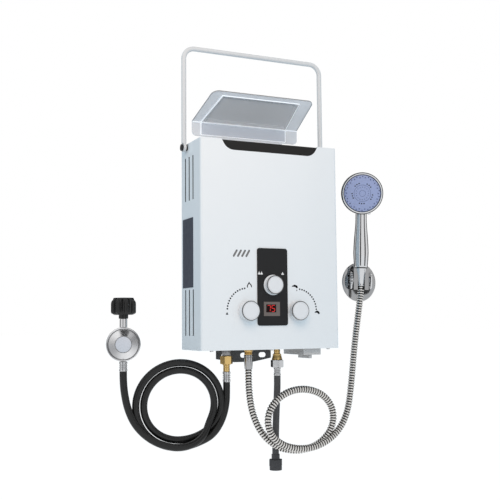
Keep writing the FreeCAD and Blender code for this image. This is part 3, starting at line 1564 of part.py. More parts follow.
def build_gas_hose():
    """Gas hose: the drop from the heater, its coil, and the lead to the regulator."""
    drop_top = f"{BOTTOM} - gas_pipe_below - gas_nut_height - gas_stem_length - ferrule_length"
    first = spot(GAS_X, FITTING_Y, drop_top)
    radius = number("gas_hose_radius")
    drop = [first, first - Vector(0, 0, number("gas_lead_in")), *chosen(GAS_DROP)]
    piece(bent_rod("gas_hose_drop", drop, radius, tell=True), "gas_hose_drop")
    lead_end = spot(REGULATOR_X, FITTING_Y,
                    f"{REGULATOR_Z} - regulator_radius - regulator_ferrule_length")
    lead = [*chosen(GAS_LEAD), lead_end - Vector(0, 0, number("gas_lead_in")), lead_end]
    piece(bent_rod("gas_hose_lead", lead, radius, tell=True), "gas_hose_lead")
    middle = spot("-coil_side", FITTING_Y, "top_above_hook - coil_drop")
    axis = Vector(0, 1, 0)

    def oval(wide, high):
        turn = Placement(middle + axis * -radius, TURN_TO["-y"])
        ring = Part.Ellipse(Vector(), wide, high).toShape()
        ring.Placement = turn
        return Part.Face(Part.Wire([ring])).extrude(axis * 2 * radius)

    wide = number("coil_width") / 2
    high = number("coil_height") / 2
    band = 2 * radius + number("coil_strand_pitch")
    coil = doc.addObject("Part::Feature", "gas_hose_coil")
    coil.Shape = oval(wide, high).cut(oval(wide - band, high - band))
    piece(coil, "gas_hose_coil")


def build_cold_hose(crimp_foot):
    """Cold inlet hose with the female garden-hose coupling on its lower end."""
    first = spot(COLD_X, FITTING_Y, crimp_foot)
    last = spot("cold_end_side", FITTING_Y, "top_above_hook - cold_end_drop")
    lead_in = Vector(0, 0, number("cold_lead_in"))
    route = [first, first - lead_in, *chosen(COLD_ROUTE), last + lead_in, last]
    hose = bent_rod("cold_hose", route, number("cold_hose_radius"), tell=True)
    piece(hose, "cold_hose")
    top = "(top_above_hook - cold_end_drop)"
    shell, foot = stack("cold_end_side", FITTING_Y, top,
                        ("round", "coupling_neck_radius", "coupling_neck_length"),
                        ("hex", "coupling_flats", "coupling_grip_length"),
                        ("round", "coupling_flats / 2", "coupling_skirt_length"))
    bore = rod(("cold_end_side", FITTING_Y, f"{foot} - 1"), "z", "coupling_thread_radius",
               "coupling_thread_depth + 1")
    waterway = rod(("cold_end_side", FITTING_Y, f"{foot} - 1"), "z", "coupling_waterway_radius",
                   "coupling_thread_depth + 4")
    piece(cut(fuse(*shell), bore, waterway), "hose_coupling")


# Shower set: wall bracket, handset and its hose


def bracket_frame(deep="0", high="0"):
    """Placement of the bracket's own frame, moved out along its arm and up."""
    base = Placement(spot("shower_side", "0", "top_above_hook - shower_drop"), Rotation())
    turn = Rotation(Vector(0, 0, 1), -number("shower_turn_angle"))
    lean = Rotation(Vector(0, 1, 0), number("shower_lean_angle"))
    swing = Placement(Vector(), turn * lean)
    return base * swing * Placement(spot("0", deep, high), Rotation())


def on_bracket(thing, label, deep="0", high="0", turn=Rotation()):
    """Piece placed in the shower bracket's own frame."""
    carrier = doc.addObject("Part::Compound", label)
    carrier.Links = [thing]
    carrier.Placement = bracket_frame(deep, high) * Placement(Vector(), turn)
    return piece(carrier, label)


def build_shower_bracket():
    """Wall disc with a fork, and the cradle that tilts in the fork between two ratchet discs."""
    disc = turned("wall_disc", [
        ("0", "0"), ("shower_disc_radius", "0"), ("shower_disc_radius", "disc_rim"),
        ("shower_disc_radius - disc_slope", "shower_disc_height"), ("0", "shower_disc_height"),
    ])
    disc.Placement = Placement(Vector(), TURN_TO["-y"])
    base = doc.addObject("Part::Compound", "wall_disc_placed")
    base.Links = [disc]
    back = spot("shower_side", "0", "top_above_hook - shower_drop")
    base.Placement = Placement(back, Rotation())

    arm = "-shower_arm"
    cup = "cradle_half_width"
    near = f"({cup} + tilt_gap)"
    far = f"({near} + fork_thick)"
    fork = []
    for side, (low, high) in (("-", (f"-{far}", f"-{near}")), ("", (near, far))):
        fork.append(block((low, high), (arm, "fork_root"),
                          ("tilt_high - fork_radius", "tilt_high + fork_radius")))
        fork.append(rod((low, arm, "tilt_high"), "x", "fork_radius", "fork_thick"))
    pin_hole = rod((f"-{far} - 1", arm, "tilt_high"), "x", "tilt_pin_radius + running_gap",
                   f"2 * {far} + 2")
    carried = doc.addObject("Part::Compound", "fork_placed")
    carried.Links = [cut(fuse(*fork), pin_hole)]
    carried.Placement = bracket_frame()
    wall = block(("shower_side - shower_disc_radius", "shower_side + shower_disc_radius"),
                 ("0", "30"), ("-400", "0"))
    piece(cut(fuse(base, carried), wall), "shower_bracket")

    cup_front = "(-shower_arm - cradle_front)"
    cup_back = "(cradle_back - shower_arm)"
    seat_top = "(handset_seam + seat_gap)"
    shell = block((f"-{cup}", cup), (cup_front, cup_back), ("cradle_foot", "cradle_top"))
    pins = [rod((f"{side}({cup} - 1)", arm, "tilt_high"), axis, "tilt_pin_radius",
                "1 + tilt_gap + fork_thick + tilt_gap + ratchet_thick / 2")
            for side, axis in (("-", "-x"), ("", "x"))]
    socket = taper(("0", arm, seat_top), "-z", "cone_top_radius + seat_gap",
                   "cone_foot_radius + seat_gap", "cone_length + seat_gap")
    relief = rod(("0", arm, "cradle_foot - 1"), "z", "cone_foot_radius + seat_gap",
                 "cradle_top - cradle_foot")
    mouth = block(("-cradle_mouth / 2", "cradle_mouth / 2"), (f"{cup_front} - 1", arm),
                  ("cradle_foot - 1", "cradle_top + 1"))
    heel = block((f"-{cup} - 1", f"{cup} + 1"),
                 (f"{cup_back} - cradle_heel_depth", f"{cup_back} + 1"),
                 ("cradle_foot - 1", "cradle_foot + cradle_heel_height"))
    on_bracket(cut(fuse(shell, *pins), socket, relief, mouth, heel), "cradle")
    discs = []
    for side, axis in (("-", "-x"), ("", "x")):
        start = f"{side}({far} + tilt_gap)"
        wheel = rod((start, arm, "tilt_high"), axis, "ratchet_radius", "ratchet_thick")
        socket_hole = rod((start, arm, "tilt_high"), axis, "tilt_pin_radius", "ratchet_thick / 2")
        discs.append(cut(wheel, socket_hole))
    on_bracket(group(*discs), "ratchet_discs")


def build_handset():
    """Handset with a waisted handle, a spray plate and the selector ring round it."""
    grip = turned("handset_grip", [
        ("0", "0"), ("handle_foot_radius", "0"),
        ("handle_wide_radius - handle_foot_step", f"handle_wide_at * {SWELL_SHARE}"),
        ("handle_wide_radius", "handle_wide_at"),
        ("handle_wide_radius - handle_wide_step", "handle_wide_at + handle_wide_rise"),
        ("handle_neck_radius", "handle_neck_at"), ("handle_neck_radius", "handle_top_at"),
        ("0", "handle_top_at"),
    ])
    neck = rod(("0", "neck_back", "handle_neck_at - neck_lap"), "z", "neck_radius", "neck_length")
    head = turned("handset_head", [
        ("0", "0"), ("head_radius - ring_width - head_seam", "0"),
        ("head_radius - ring_width - head_seam", "-ring_back"),
        ("head_radius - head_lip", "-ring_back"),
        ("head_radius - head_shoulder", "-ring_back - head_shoulder_rise"),
        (f"head_radius * {HEAD_WAIST}", "-head_thick + head_shoulder_rise"),
        (f"head_radius * {HEAD_CROWN}", "-head_thick"), ("0", "-head_thick"),
    ])
    droop = number("head_tilt_angle")
    face_turn = TURN_TO["-y"] * Rotation(Vector(1, 0, 0), droop)
    face_at = ("0", "-head_forward", "head_at")
    head.Placement = Placement(Vector(), face_turn)
    for letter, text in zip("xyz", face_at):
        head.setExpression("Placement.Base." + letter, expression(text))
    on_bracket(fuse(grip, neck, head), "handset_body", "-shower_arm", "handset_seam")

    plate = turned("plate_blank", [
        ("0", "plate_gap"), ("plate_radius", "plate_gap"), ("plate_radius", "plate_thick"),
        (f"plate_radius * {CROWN_SHARE}", "plate_thick + plate_crown"), ("0", "plate_thick + plate_crown"),
    ])
    inner = "(plate_radius + seat_gap)"
    ring = turned("ring_blank", [
        (inner, "plate_gap"), ("head_radius - ring_width", "plate_gap"),
        ("head_radius - ring_width", "plate_gap - ring_back"),
        ("head_radius", "plate_gap - ring_back"), ("head_radius", "plate_thick - ring_edge_drop"),
        ("head_radius - ring_edge_step", "plate_thick + ring_edge_rise"), (inner, "plate_thick"),
    ])
    arm = "-shower_arm - head_forward"
    high = "handset_seam + head_at"
    on_bracket(plate, "spray_plate", arm, high, face_turn)
    on_bracket(fuse(ring, tab_at_angle()), "selector_ring", arm, high, face_turn)

    cone = taper(("0", "0", "-seat_gap"), "-z", "cone_top_radius", "cone_foot_radius",
                 "cone_length - seat_gap")
    bore = rod(("0", "0", "-cone_length"), "z", "cone_bore_radius", "cone_bore_depth")
    on_bracket(cut(cone, bore), "handset_nut", "-shower_arm", "handset_seam")


def tab_at_angle():
    """Thumb tab on the selector ring's rim."""
    angle = number("tab_angle")
    tab = doc.addObject("Part::Box", "Tab")
    bind(tab, Length="tab_width", Width="tab_reach + tab_lap", Height="plate_thick - tab_sink")
    start = Vector(-number("tab_width") / 2, -number("head_radius + tab_reach"),
                   number("tab_lift"))
    turn = Rotation(Vector(0, 0, 1), angle)
    tab.Placement = Placement(turn.multVec(start), turn)
    return tab


def build_shower_hose():
    """Interlocked steel shower hose from the hot outlet to the handset's cone nut."""
    top = f"{BOTTOM} - outlet_stub - outlet_flange_height - outlet_neck_height - shower_nut_height"
    first = spot(HOT_X, FITTING_Y, top)
    cone_foot = "handset_seam - cone_length"
    last = bracket_frame("-shower_arm", f"{cone_foot} + cone_bore_depth").Base
    below = bracket_frame("-shower_arm", f"{cone_foot} - cone_bore_depth / 2").Base
    start = first - Vector(0, 0, number("shower_lead_in"))
    route = [first, start, *chosen(SHOWER_ROUTE), below, last]
    hose = bent_rod("shower_hose", route, number("shower_hose_radius"), tell=True)
    return piece(hose, "shower_hose")


def main():
    build_back_plate()
    build_front_cover()
    build_bottom_panel()
    build_wall_bracket()
    build_rating_plate()
    build_flue_hood()
    build_fin_block()
    build_chamber()
    build_coil_pipe()
    build_burner()
    build_manifold()
    build_valves()
    build_season_switch()
    build_controls()
    build_control_panel()
    build_display()
    build_ignition()
    build_battery_box()
    build_battery_lid()
    build_handle()
    build_rain_cap()
    build_panel_screws()
    build_gas_fittings()
    build_hot_fittings()
    crimp_foot = build_cold_fittings()
    build_regulator()
    build_gas_hose()
    build_cold_hose(crimp_foot)
    build_shower_bracket()
    build_handset()
    build_shower_hose()
    doc.recompute()
    for thing in doc.Objects:
        if {"Invalid", "Error"} & set(thing.State):
            raise RuntimeError(f"{thing.Name} failed: {thing.State}")
    for thing in pieces:
        if thing.Shape.isNull() or not thing.Shape.isValid():
            raise RuntimeError(f"{thing.Label} has no valid shape")
    os.makedirs("parts", exist_ok=True)
    for thing in pieces:
        thing.Shape.exportStep(f"parts/{thing.Label}.step")
    print(len(pieces), "pieces written")


main()
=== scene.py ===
"""Looks of a portable propane water heater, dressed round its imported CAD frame.

Sizes in the classes are millimetres in the row frame: +X right, -Y towards the front, +Z up.
"""

import logging
import math
from dataclasses import dataclass, field
from enum import Enum
from typing import Iterable, Sequence

import bmesh
import bpy
from mathutils import Matrix, Vector


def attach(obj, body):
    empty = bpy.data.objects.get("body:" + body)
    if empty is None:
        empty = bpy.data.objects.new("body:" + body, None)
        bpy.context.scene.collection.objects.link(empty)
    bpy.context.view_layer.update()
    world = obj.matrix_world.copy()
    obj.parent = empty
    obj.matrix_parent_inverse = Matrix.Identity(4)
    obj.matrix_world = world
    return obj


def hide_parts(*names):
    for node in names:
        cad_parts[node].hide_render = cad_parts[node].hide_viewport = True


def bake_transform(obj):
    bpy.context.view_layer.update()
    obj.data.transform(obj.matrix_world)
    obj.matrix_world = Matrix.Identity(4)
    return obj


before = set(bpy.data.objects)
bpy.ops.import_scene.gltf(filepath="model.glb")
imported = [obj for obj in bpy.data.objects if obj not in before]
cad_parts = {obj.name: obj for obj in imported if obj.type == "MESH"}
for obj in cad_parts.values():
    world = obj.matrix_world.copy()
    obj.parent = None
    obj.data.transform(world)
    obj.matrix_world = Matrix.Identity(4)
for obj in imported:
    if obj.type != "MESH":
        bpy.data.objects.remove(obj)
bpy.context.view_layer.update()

log = logging.getLogger("water_heater")
MM = 0.001
Point = Sequence[float]
Outline = Sequence[tuple[float, float]]
Colour = tuple[float, float, float]

NOISE_SPAN = (0.3, 0.7)  # where nearly all values of a noise lie
WAVE_SPAN = (-1.0, 1.0)
ON_AXIS = 1e-6  # smallest radius of a ring
MERGED = 0.002  # corners of the CAD closer than this become one
FLAT = 0.6  # degrees between CAD faces that become one
LINE_STEPS = 12  # points between two control points of a hose
SECTION_STEPS = 8
NUT_STEPS = 72
NUT_CHAMFER = 1.0
SCREW_STEPS = 24

REGULATOR = (-276.0, -50.0, -353.5)
REGULATOR_TURN = 16.0
WALL = (257.0, 0.0, -231.5)
ARM = 38.0  # from the wall to the axis that the handset tilts about
SEAM_HIGH = 29.0
HEAD_FORWARD = 16.0
HEAD_HIGH = 155.0


class Body(Enum):
    """Bodies of the frame that pieces ride on."""

    HEATER = "heater"
    GAS_KNOB = "gas_knob"
    WATER_KNOB = "water_knob"
    SEASON_KNOB = "season_knob"
    LID = "battery_lid"
    HANDLE = "carry_handle"
    TANK_NUT = "tank_nut"
    COUPLING = "hose_coupling"
    CRADLE = "cradle"
    HANDSET = "handset"
    SELECTOR = "spray_selector"


class Facing(Enum):
    """Direction that a turned or extruded shape grows in, as a rotation from +Z."""

    UP = Matrix.Identity(4)
    FRONT = Matrix.Rotation(math.pi / 2, 4, "X")
    BACK = Matrix.Rotation(-math.pi / 2, 4, "X")
    RIGHT = Matrix.Rotation(math.pi / 2, 4, "Y")
    LEFT = Matrix.Rotation(-math.pi / 2, 4, "Y")


def seat(at: Point, facing: Facing = Facing.UP) -> Matrix:
    """Matrix that stands a shape at a point.

    Args:
        at: the point, in millimetres.
        facing: which way the shape's own +Z looks.

    Returns:
        The placing matrix.
    """
    return Matrix.Translation(Vector(at)) @ facing.value


def polar(radius: float, turn: float) -> tuple[float, float]:
    """Point of a circle round zero, by an angle in radians."""
    return radius * math.cos(turn), radius * math.sin(turn)


def circle(radius: float, steps: int) -> list[tuple[float, float]]:
    """Points spaced evenly round a circle."""
    return [polar(radius, 2 * math.pi * k / steps) for k in range(steps)]


def bow(radius: float, start: float, sweep: float, steps: int) -> list[tuple[float, float]]:
    """Points along part of a circle, by angles in degrees."""
    return [polar(radius, math.radians(start + sweep * k / steps)) for k in range(steps + 1)]


def linked(name: str, data: bpy.types.ID) -> bpy.types.Object:
    """New object of some data, linked into the scene.

    Args:
        name: name of the object.
        data: its mesh, curve, camera or lamp.

    Returns:
        The object.
    """
    thing = bpy.data.objects.new(name, data)
    bpy.context.scene.collection.objects.link(thing)
    return thing


# ---------------------------------------------------------------- node trees


class Tree:
    """Node tree with the shorthand that finishes, repeated shapes and the studio share."""

    family = "ShaderNode"

    def __init__(self, tree: bpy.types.NodeTree) -> None:
        """Takes up a tree."""
        self.tree = tree

    def put(self, socket: bpy.types.NodeSocket, value: object) -> None:
        """Joins an input to another socket, or sets it to a value.

        Args:
            socket: the input.
            value: the other socket or the value.
        """
        if isinstance(value, bpy.types.NodeSocket):
            self.tree.links.new(value, socket)
        else:
            socket.default_value = value

    def add(self, kind: str, links: dict[str | int, object] | None = None,
            **settings: object) -> bpy.types.Node:
        """Adds a node.

        Args:
            kind: the node's full type, or its type without the tree's family.
            links: input name or number to a socket to join or a value to set.
            settings: properties of the node.

        Returns:
            The node.
        """
        full = kind if kind.startswith(("ShaderNode", "FunctionNode")) else self.family + kind
        node = self.tree.nodes.new(full)
        for key, value in settings.items():
            setattr(node, key, value)
        for key, value in (links or {}).items():
            self.put(node.inputs[key], value)
        return node

    def maths(self, operation: str, *values: object) -> bpy.types.NodeSocket:
        """Result of a maths node on sockets or numbers."""
        return self.add("ShaderNodeMath", dict(enumerate(values)), operation=operation).outputs[0]


# ---------------------------------------------------------------- finishes


class Bench(Tree):
    """Node tree of one material, with the nodes that several finishes use."""

    def __init__(self, name: str) -> None:
        """Starts an empty material with its output, shader and coordinates.

        Args:
            name: name of the material.
        """
        self.material = bpy.data.materials.new(name)
        self.material.use_nodes = True
        super().__init__(self.material.node_tree)
        self.tree.nodes.clear()
        self.output = self.add("OutputMaterial")
        self.shader = self.add("BsdfPrincipled")
        self.surface(self.shader)
        self.place = self.add("TexCoord").outputs

    def surface(self, shader: bpy.types.Node) -> None:
        """Makes a shader node the material's surface."""
        self.put(self.output.inputs["Surface"], shader.outputs[0])

    def set(self, **values: object) -> None:
        """Sets or joins the shader's own sockets, with underscores for spaces."""
        for key, value in values.items():
            self.put(self.shader.inputs[key.replace("_", " ")], value)

    def noise(self, scale: float, detail: float = 2.0) -> bpy.types.NodeSocket:
        """Noise value over the object, by repeats per metre and octaves of finer noise.

        Args:
            scale: repeats per metre.
            detail: octaves of finer noise.

        Returns:
            The socket with the value.
        """
        node = self.add("TexNoise", {"Scale": scale, "Detail": detail,
                                     "Vector": self.place["Object"]})
        return node.outputs["Fac"]

    def spread(self, value: bpy.types.NodeSocket, start: float, end: float, low: float = 0.0,
               high: float = 1.0) -> bpy.types.NodeSocket:
        """Value between start and end, spread from low to high.

        Args:
            value: the socket with the value.
            start: the value that gives low.
            end: the value that gives high.
            low: result at start.
            high: result at end.

        Returns:
            The socket with the result.
        """
        node = self.add("MapRange", {"Value": value, "From Min": start, "From Max": end,
                                     "To Min": low, "To Max": high})
        return node.outputs[0]

    def paint(self, share: bpy.types.NodeSocket, low: Colour, high: Colour) -> None:
        """Colours the surface between two colours by a share.

        Args:
            share: socket with the share, 0 to 1.
            low: colour at 0.
            high: colour at 1.
        """
        node = self.add("Mix", {"Factor": share}, data_type="RGBA")
        for key, colour in (("A", low), ("B", high)):
            socket = next(s for s in node.inputs if s.name == key and s.type == "RGBA")
            socket.default_value = (*colour, 1)
        self.set(Base_Color=next(s for s in node.outputs if s.type == "RGBA"))

    def gloss(self, cloud: float, rough: tuple[float, float]) -> None:
        """Lets the roughness wander between two values, finer than the colour's clouds."""
        self.set(Roughness=self.spread(self.noise(cloud * 4, 4), *NOISE_SPAN, *rough))

    def bump(self, height: bpy.types.NodeSocket, strength: float, depth: float) -> None:
        """Bumps the shader's surface by a height in metres."""
        node = self.add("Bump", {"Strength": strength, "Distance": depth, "Height": height})
        self.set(Normal=node.outputs[0])


@dataclass(frozen=True)
class Finish:
    """Surface of one kind of piece: its colour, gloss and fine texture.

    Lengths of texture are repeats per metre, and the bump's depth is metres.
    """

    slot: str
    colour: Colour
    metallic: float = 0.0
    rough: tuple[float, float] = (0.3, 0.4)
    shade: float = 0.94
    cloud: float = 25.0
    grain: float = 900.0
    grain_depth: float = 0.00002
    grain_strength: float = 0.12
    coat: float = 0.0
    coat_rough: float = 0.08
    mirror: float = 0.5
    solid: float = 1.0

    def dress(self, bench: Bench) -> None:
        """Builds the nodes: clouded colour and gloss, and a fine grain.

        Args:
            bench: node tree of the material.
        """
        bench.set(Metallic=self.metallic, Specular_IOR_Level=self.mirror, Alpha=self.solid)
        if self.coat:
            bench.set(Coat_Weight=self.coat, Coat_Roughness=self.coat_rough)
        darker = tuple(c * self.shade for c in self.colour)
        bench.paint(bench.noise(self.cloud, 3), darker, self.colour)
        bench.gloss(self.cloud, self.rough)
        bench.bump(bench.noise(self.grain), self.grain_strength, self.grain_depth)


@dataclass(frozen=True)
class BraidFinish(Finish):
    """Braided sleeve: two sets of strands that cross, on the piece's own UV map in metres."""

    strands: float = 2.0
    pitch: float = 0.0125
    relief: tuple[float, float] = (0.6, 0.0004)
    light: Colour = (0.3, 0.3, 0.32)

    def dress(self, bench: Bench) -> None:
        """Crossing diagonal waves for colour and height.

        Args:
            bench: node tree of the material.
        """
        bench.set(Metallic=self.metallic)
        around, along = bench.add("SeparateXYZ", {0: bench.place["UV"]}).outputs[:2]
        waves = []
        for lean in (1.0, -1.0):
            strand = bench.maths("MULTIPLY", around, self.strands)
            turns = bench.maths("MULTIPLY_ADD", along, lean / self.pitch, strand)
            waves.append(bench.maths("SINE", bench.maths("MULTIPLY", turns, 2 * math.pi)))
        share = bench.spread(bench.maths("MULTIPLY", *waves), *WAVE_SPAN)
        bench.paint(share, self.colour, self.light)
        bench.gloss(self.cloud, self.rough)
        bench.bump(share, *self.relief)


@dataclass(frozen=True)
class GrooveShadeFinish(Finish):
    """Wound steel strip: bright rings with painted shade in the grooves, by the mesh's own groove
    attribute.
    """

    # colour of the painted shade in the grooves between the rings
    groove: Colour = (0.006, 0.005, 0.005)

    def dress(self, bench: Bench) -> None:
        """Mixes the strip's colour with the painted shade of the grooves.

        Args:
            bench: node tree of the material.
        """
        super().dress(bench)
        held = bench.add("Attribute", attribute_name="groove")
        bench.paint(held.outputs["Fac"], self.colour, self.groove)


@dataclass(frozen=True)
class PaintedSheenFinish(Finish):
    """Turned metal whose colour gets lighter and darker round its axis, as a painted sheen."""

    at: tuple[float, float, float] = (0.0, 0.0, 0.0)
    axis_turn: tuple[float, float, float] = (0.0, 0.0, 0.0)
    sheen_dark: Colour = (0.3, 0.3, 0.31)
    phase: float = 0.12

    def dress(self, bench: Bench) -> None:
        """Two lighter and two darker sectors of painted sheen round the axis, over the base finish.

        Args:
            bench: node tree of the material.
        """
        super().dress(bench)
        own = bench.add("Mapping", {"Location": self.at, "Rotation": self.axis_turn,
                                    "Vector": bench.place["Object"]}, vector_type="TEXTURE")
        turn = bench.add("TexGradient", {"Vector": own.outputs[0]}, gradient_type="RADIAL")
        lobes = bench.maths("MULTIPLY_ADD", turn.outputs["Fac"], 4 * math.pi,
                            2 * math.pi * self.phase)
        share = bench.spread(bench.maths("SINE", lobes), *WAVE_SPAN)
        bench.paint(share, self.colour, self.sheen_dark)


@dataclass(frozen=True)
class GlowFinish(Finish):
    """Glowing surface: the display's red segments, which light up, and the cap's clear edges, whose
    glow is a painted highlight.
    """

    glow: Colour = (1.0, 0.03, 0.02)
    strength: float = 0.5

    def dress(self, bench: Bench) -> None:
        """Adds the glow to the base finish.

        Args:
            bench: node tree of the material.
        """
        super().dress(bench)
        bench.set(Emission_Color=(*self.glow, 1), Emission_Strength=self.strength)


def steel(slot: str, level: float, rough: tuple[float, float], **more: object) -> Finish:
    """Neutral metal of one grey level."""
    tint = (level, level * 1.005, level * 1.02)
    return Finish(slot, tint, metallic=1.0, rough=rough, **more)


class Look(Enum):
    """The finishes of this heater."""

    ENAMEL = Finish("white_enamel", (0.80, 0.83, 0.85), rough=(0.28, 0.36), shade=0.985,
                    coat=0.25, grain=1400, grain_strength=0.05)
    # white enamel of the casing, darkened as painted shade for the round bail
    BAIL_SHADED = Finish("white_enamel", (0.65, 0.665, 0.675), rough=(0.22, 0.3), shade=0.985,
                  coat=0.25, grain=1400, grain_strength=0.05)
    KNOB = Finish("knob_white", (0.75, 0.765, 0.785), rough=(0.2, 0.28), shade=0.98, coat=0.4,
                  grain=1600, grain_strength=0.03)
    HOOD = Finish("black_enamel", (0.019, 0.018, 0.017), rough=(0.4, 0.52), shade=0.8, mirror=0.2)
    PANEL = Finish("panel_black", (0.017, 0.017, 0.018), rough=(0.42, 0.52), shade=0.85,
                   grain=2600, grain_strength=0.12, mirror=0.22)
    BEZEL = Finish("bezel_grey", (0.15, 0.125, 0.115), rough=(0.35, 0.45), shade=0.9)
    WINDOW = Finish("display_window", (0.008, 0.002, 0.002), rough=(0.2, 0.3), shade=0.7,
                    mirror=0.1)
    PANE = Finish("display_window", (0.2, 0.2, 0.2), rough=(0.3, 0.4), shade=0.9, mirror=0.2)
    DIGIT = GlowFinish("display_window", (0.5, 0.02, 0.02), rough=(0.2, 0.3), shade=0.9)
    DIGIT_OFF = Finish("display_window", (0.03, 0.004, 0.004), rough=(0.3, 0.4), shade=0.8,
                       mirror=0.1)
    ZINC = Finish("galvanised_steel", (0.5, 0.52, 0.54), metallic=0.9, rough=(0.36, 0.6),
                  shade=0.78, cloud=90, grain=400)
    SLATE = Finish("slate_paint", (0.098, 0.097, 0.096), rough=(0.4, 0.55), shade=0.85)
    PLATE = Finish("slate_plate", (0.036, 0.046, 0.072), rough=(0.35, 0.5), shade=0.85)
    COPPER = Finish("copper", (0.72, 0.36, 0.22), metallic=1.0, rough=(0.28, 0.5), shade=0.7,
                    cloud=40)
    BURNER = steel("burner_steel", 0.42, (0.3, 0.5), shade=0.75)
    CAST = steel("cast_aluminium", 0.56, (0.3, 0.4), shade=0.94, grain=1500, grain_strength=0.06)
    PIPE = steel("cast_aluminium", 0.3, (0.3, 0.42), shade=0.85)
    # painted sheen: the lid's colour turns lighter and darker round the regulator's axis
    SPUN_SHEEN = PaintedSheenFinish("cast_aluminium", (0.8, 0.8, 0.81), metallic=1.0, rough=(0.2, 0.3),
                      grain=1500, grain_strength=0.04, at=tuple(c * MM for c in REGULATOR),
                      axis_turn=(math.pi / 2, 0.0, math.radians(-REGULATOR_TURN)),
                      sheen_dark=(0.36, 0.36, 0.37))
    BRASS = Finish("brass", (0.72, 0.5, 0.2), metallic=1.0, rough=(0.16, 0.3), shade=0.82,
                   cloud=60, grain=1200, grain_strength=0.08)
    DARK = Finish("dark_plastic", (0.035, 0.036, 0.04), rough=(0.4, 0.55), shade=0.85)
    # chrome darkened as painted reflection and painted shade, for thin rims and rings
    RIM = steel("chrome", 0.2, (0.16, 0.24), shade=0.9, grain_strength=0.02)
    CERAMIC = Finish("ceramic_white", (0.75, 0.74, 0.7), rough=(0.2, 0.3), shade=0.95)
    GREY = Finish("grey_plastic", (0.60, 0.57, 0.55), rough=(0.4, 0.52), shade=0.95, grain=2200)
    CELL = steel("cell_can", 0.5, (0.25, 0.4), shade=0.85)
    SCREW_BLACK = Finish("black_screw", (0.02, 0.02, 0.021), metallic=0.4, rough=(0.3, 0.42),
                         shade=0.8)
    SCREW = steel("bright_screw", 0.55, (0.22, 0.36), shade=0.85)
    CAP = Finish("cap_grey", (0.70, 0.74, 0.80), rough=(0.16, 0.24), shade=0.96, coat=0.4,
                 grain=1200, grain_strength=0.03, solid=0.52)
    # darker tint of painted shade for the recessed dish of the cap
    CAP_PANEL_SHADE = Finish("cap_grey", (0.34, 0.32, 0.3), rough=(0.2, 0.28), shade=0.7, cloud=18,
                       solid=0.15)
    # lighter tint of painted light for the cap's skirt, which faces the light
    CAP_SKIRT_LIT = Finish("cap_grey", (0.8, 0.86, 0.96), rough=(0.2, 0.28), shade=0.9, solid=0.4)
    # glowing lines of painted highlight along the cap's moulded edges
    CAP_HIGHLIGHT = GlowFinish("cap_grey", (0.93, 0.95, 0.98), rough=(0.1, 0.16), shade=0.97,
                          glow=(0.9, 0.96, 1.0), strength=0.34)
    CAP_EDGE = Finish("cap_grey", (0.3, 0.29, 0.28), rough=(0.2, 0.28), shade=0.9, solid=0.8)
    CRIMP = steel("crimp_steel", 0.58, (0.08, 0.16), shade=0.85)
    SLEEVE = steel("crimp_steel", 0.42, (0.08, 0.14), shade=0.8)
    RUBBER = Finish("black_rubber", (0.008, 0.008, 0.008), rough=(0.3, 0.4), shade=0.8, grain=1800,
                    grain_strength=0.08, mirror=0.38)
    CHROME = steel("chrome", 0.66, (0.05, 0.1), shade=0.94, grain_strength=0.02)
    HOSE_STRIP = GrooveShadeFinish("hose_strip", (0.74, 0.725, 0.7), metallic=1.0, rough=(0.12, 0.2),
                             shade=0.9, grain_strength=0.03)
    # chrome darkened to near black as painted reflection on the selector ring's outer rounding
    EDGE = steel("chrome", 0.07, (0.14, 0.22), shade=0.9, grain_strength=0.02)
    DISC = steel("chrome_plastic", 0.36, (0.08, 0.16), shade=0.9, grain_strength=0.02)
    PLATED = steel("chrome_plastic", 0.66, (0.05, 0.1), shade=0.95, grain_strength=0.02)
    NUT_BLACK = Finish("nut_black", (0.006, 0.006, 0.006), rough=(0.16, 0.26), shade=0.8,
                       mirror=0.42)
    BRAID = BraidFinish("braided_grey", (0.004, 0.004, 0.004), metallic=0.3, rough=(0.45, 0.6),
                        light=(0.17, 0.17, 0.175))
    SPRAY = Finish("spray_blue", (0.30, 0.36, 0.59), rough=(0.25, 0.36), shade=0.93, coat=0.3)
    NOZZLE = Finish("spray_blue", (0.09, 0.11, 0.23), rough=(0.4, 0.5), shade=0.9)
    PRINT = Finish("panel_black", (0.005, 0.005, 0.006), rough=(0.5, 0.6), shade=0.9, mirror=0.05)
    PRINT_WHITE = Finish("white_enamel", (0.78, 0.78, 0.78), rough=(0.35, 0.45), shade=0.96)
    BADGE = Finish("white_enamel", (0.6, 0.62, 0.67), rough=(0.3, 0.4), shade=0.96)

    def material(self) -> bpy.types.Material:
        """The material of this finish, made once.

        Returns:
            The material.
        """
        name = "finish_" + self.name.lower()
        known = bpy.data.materials.get(name)
        if known:
            return known
        bench = Bench(name)
        self.value.dress(bench)
        return bench.material


# ---------------------------------------------------------------- mesh drafting


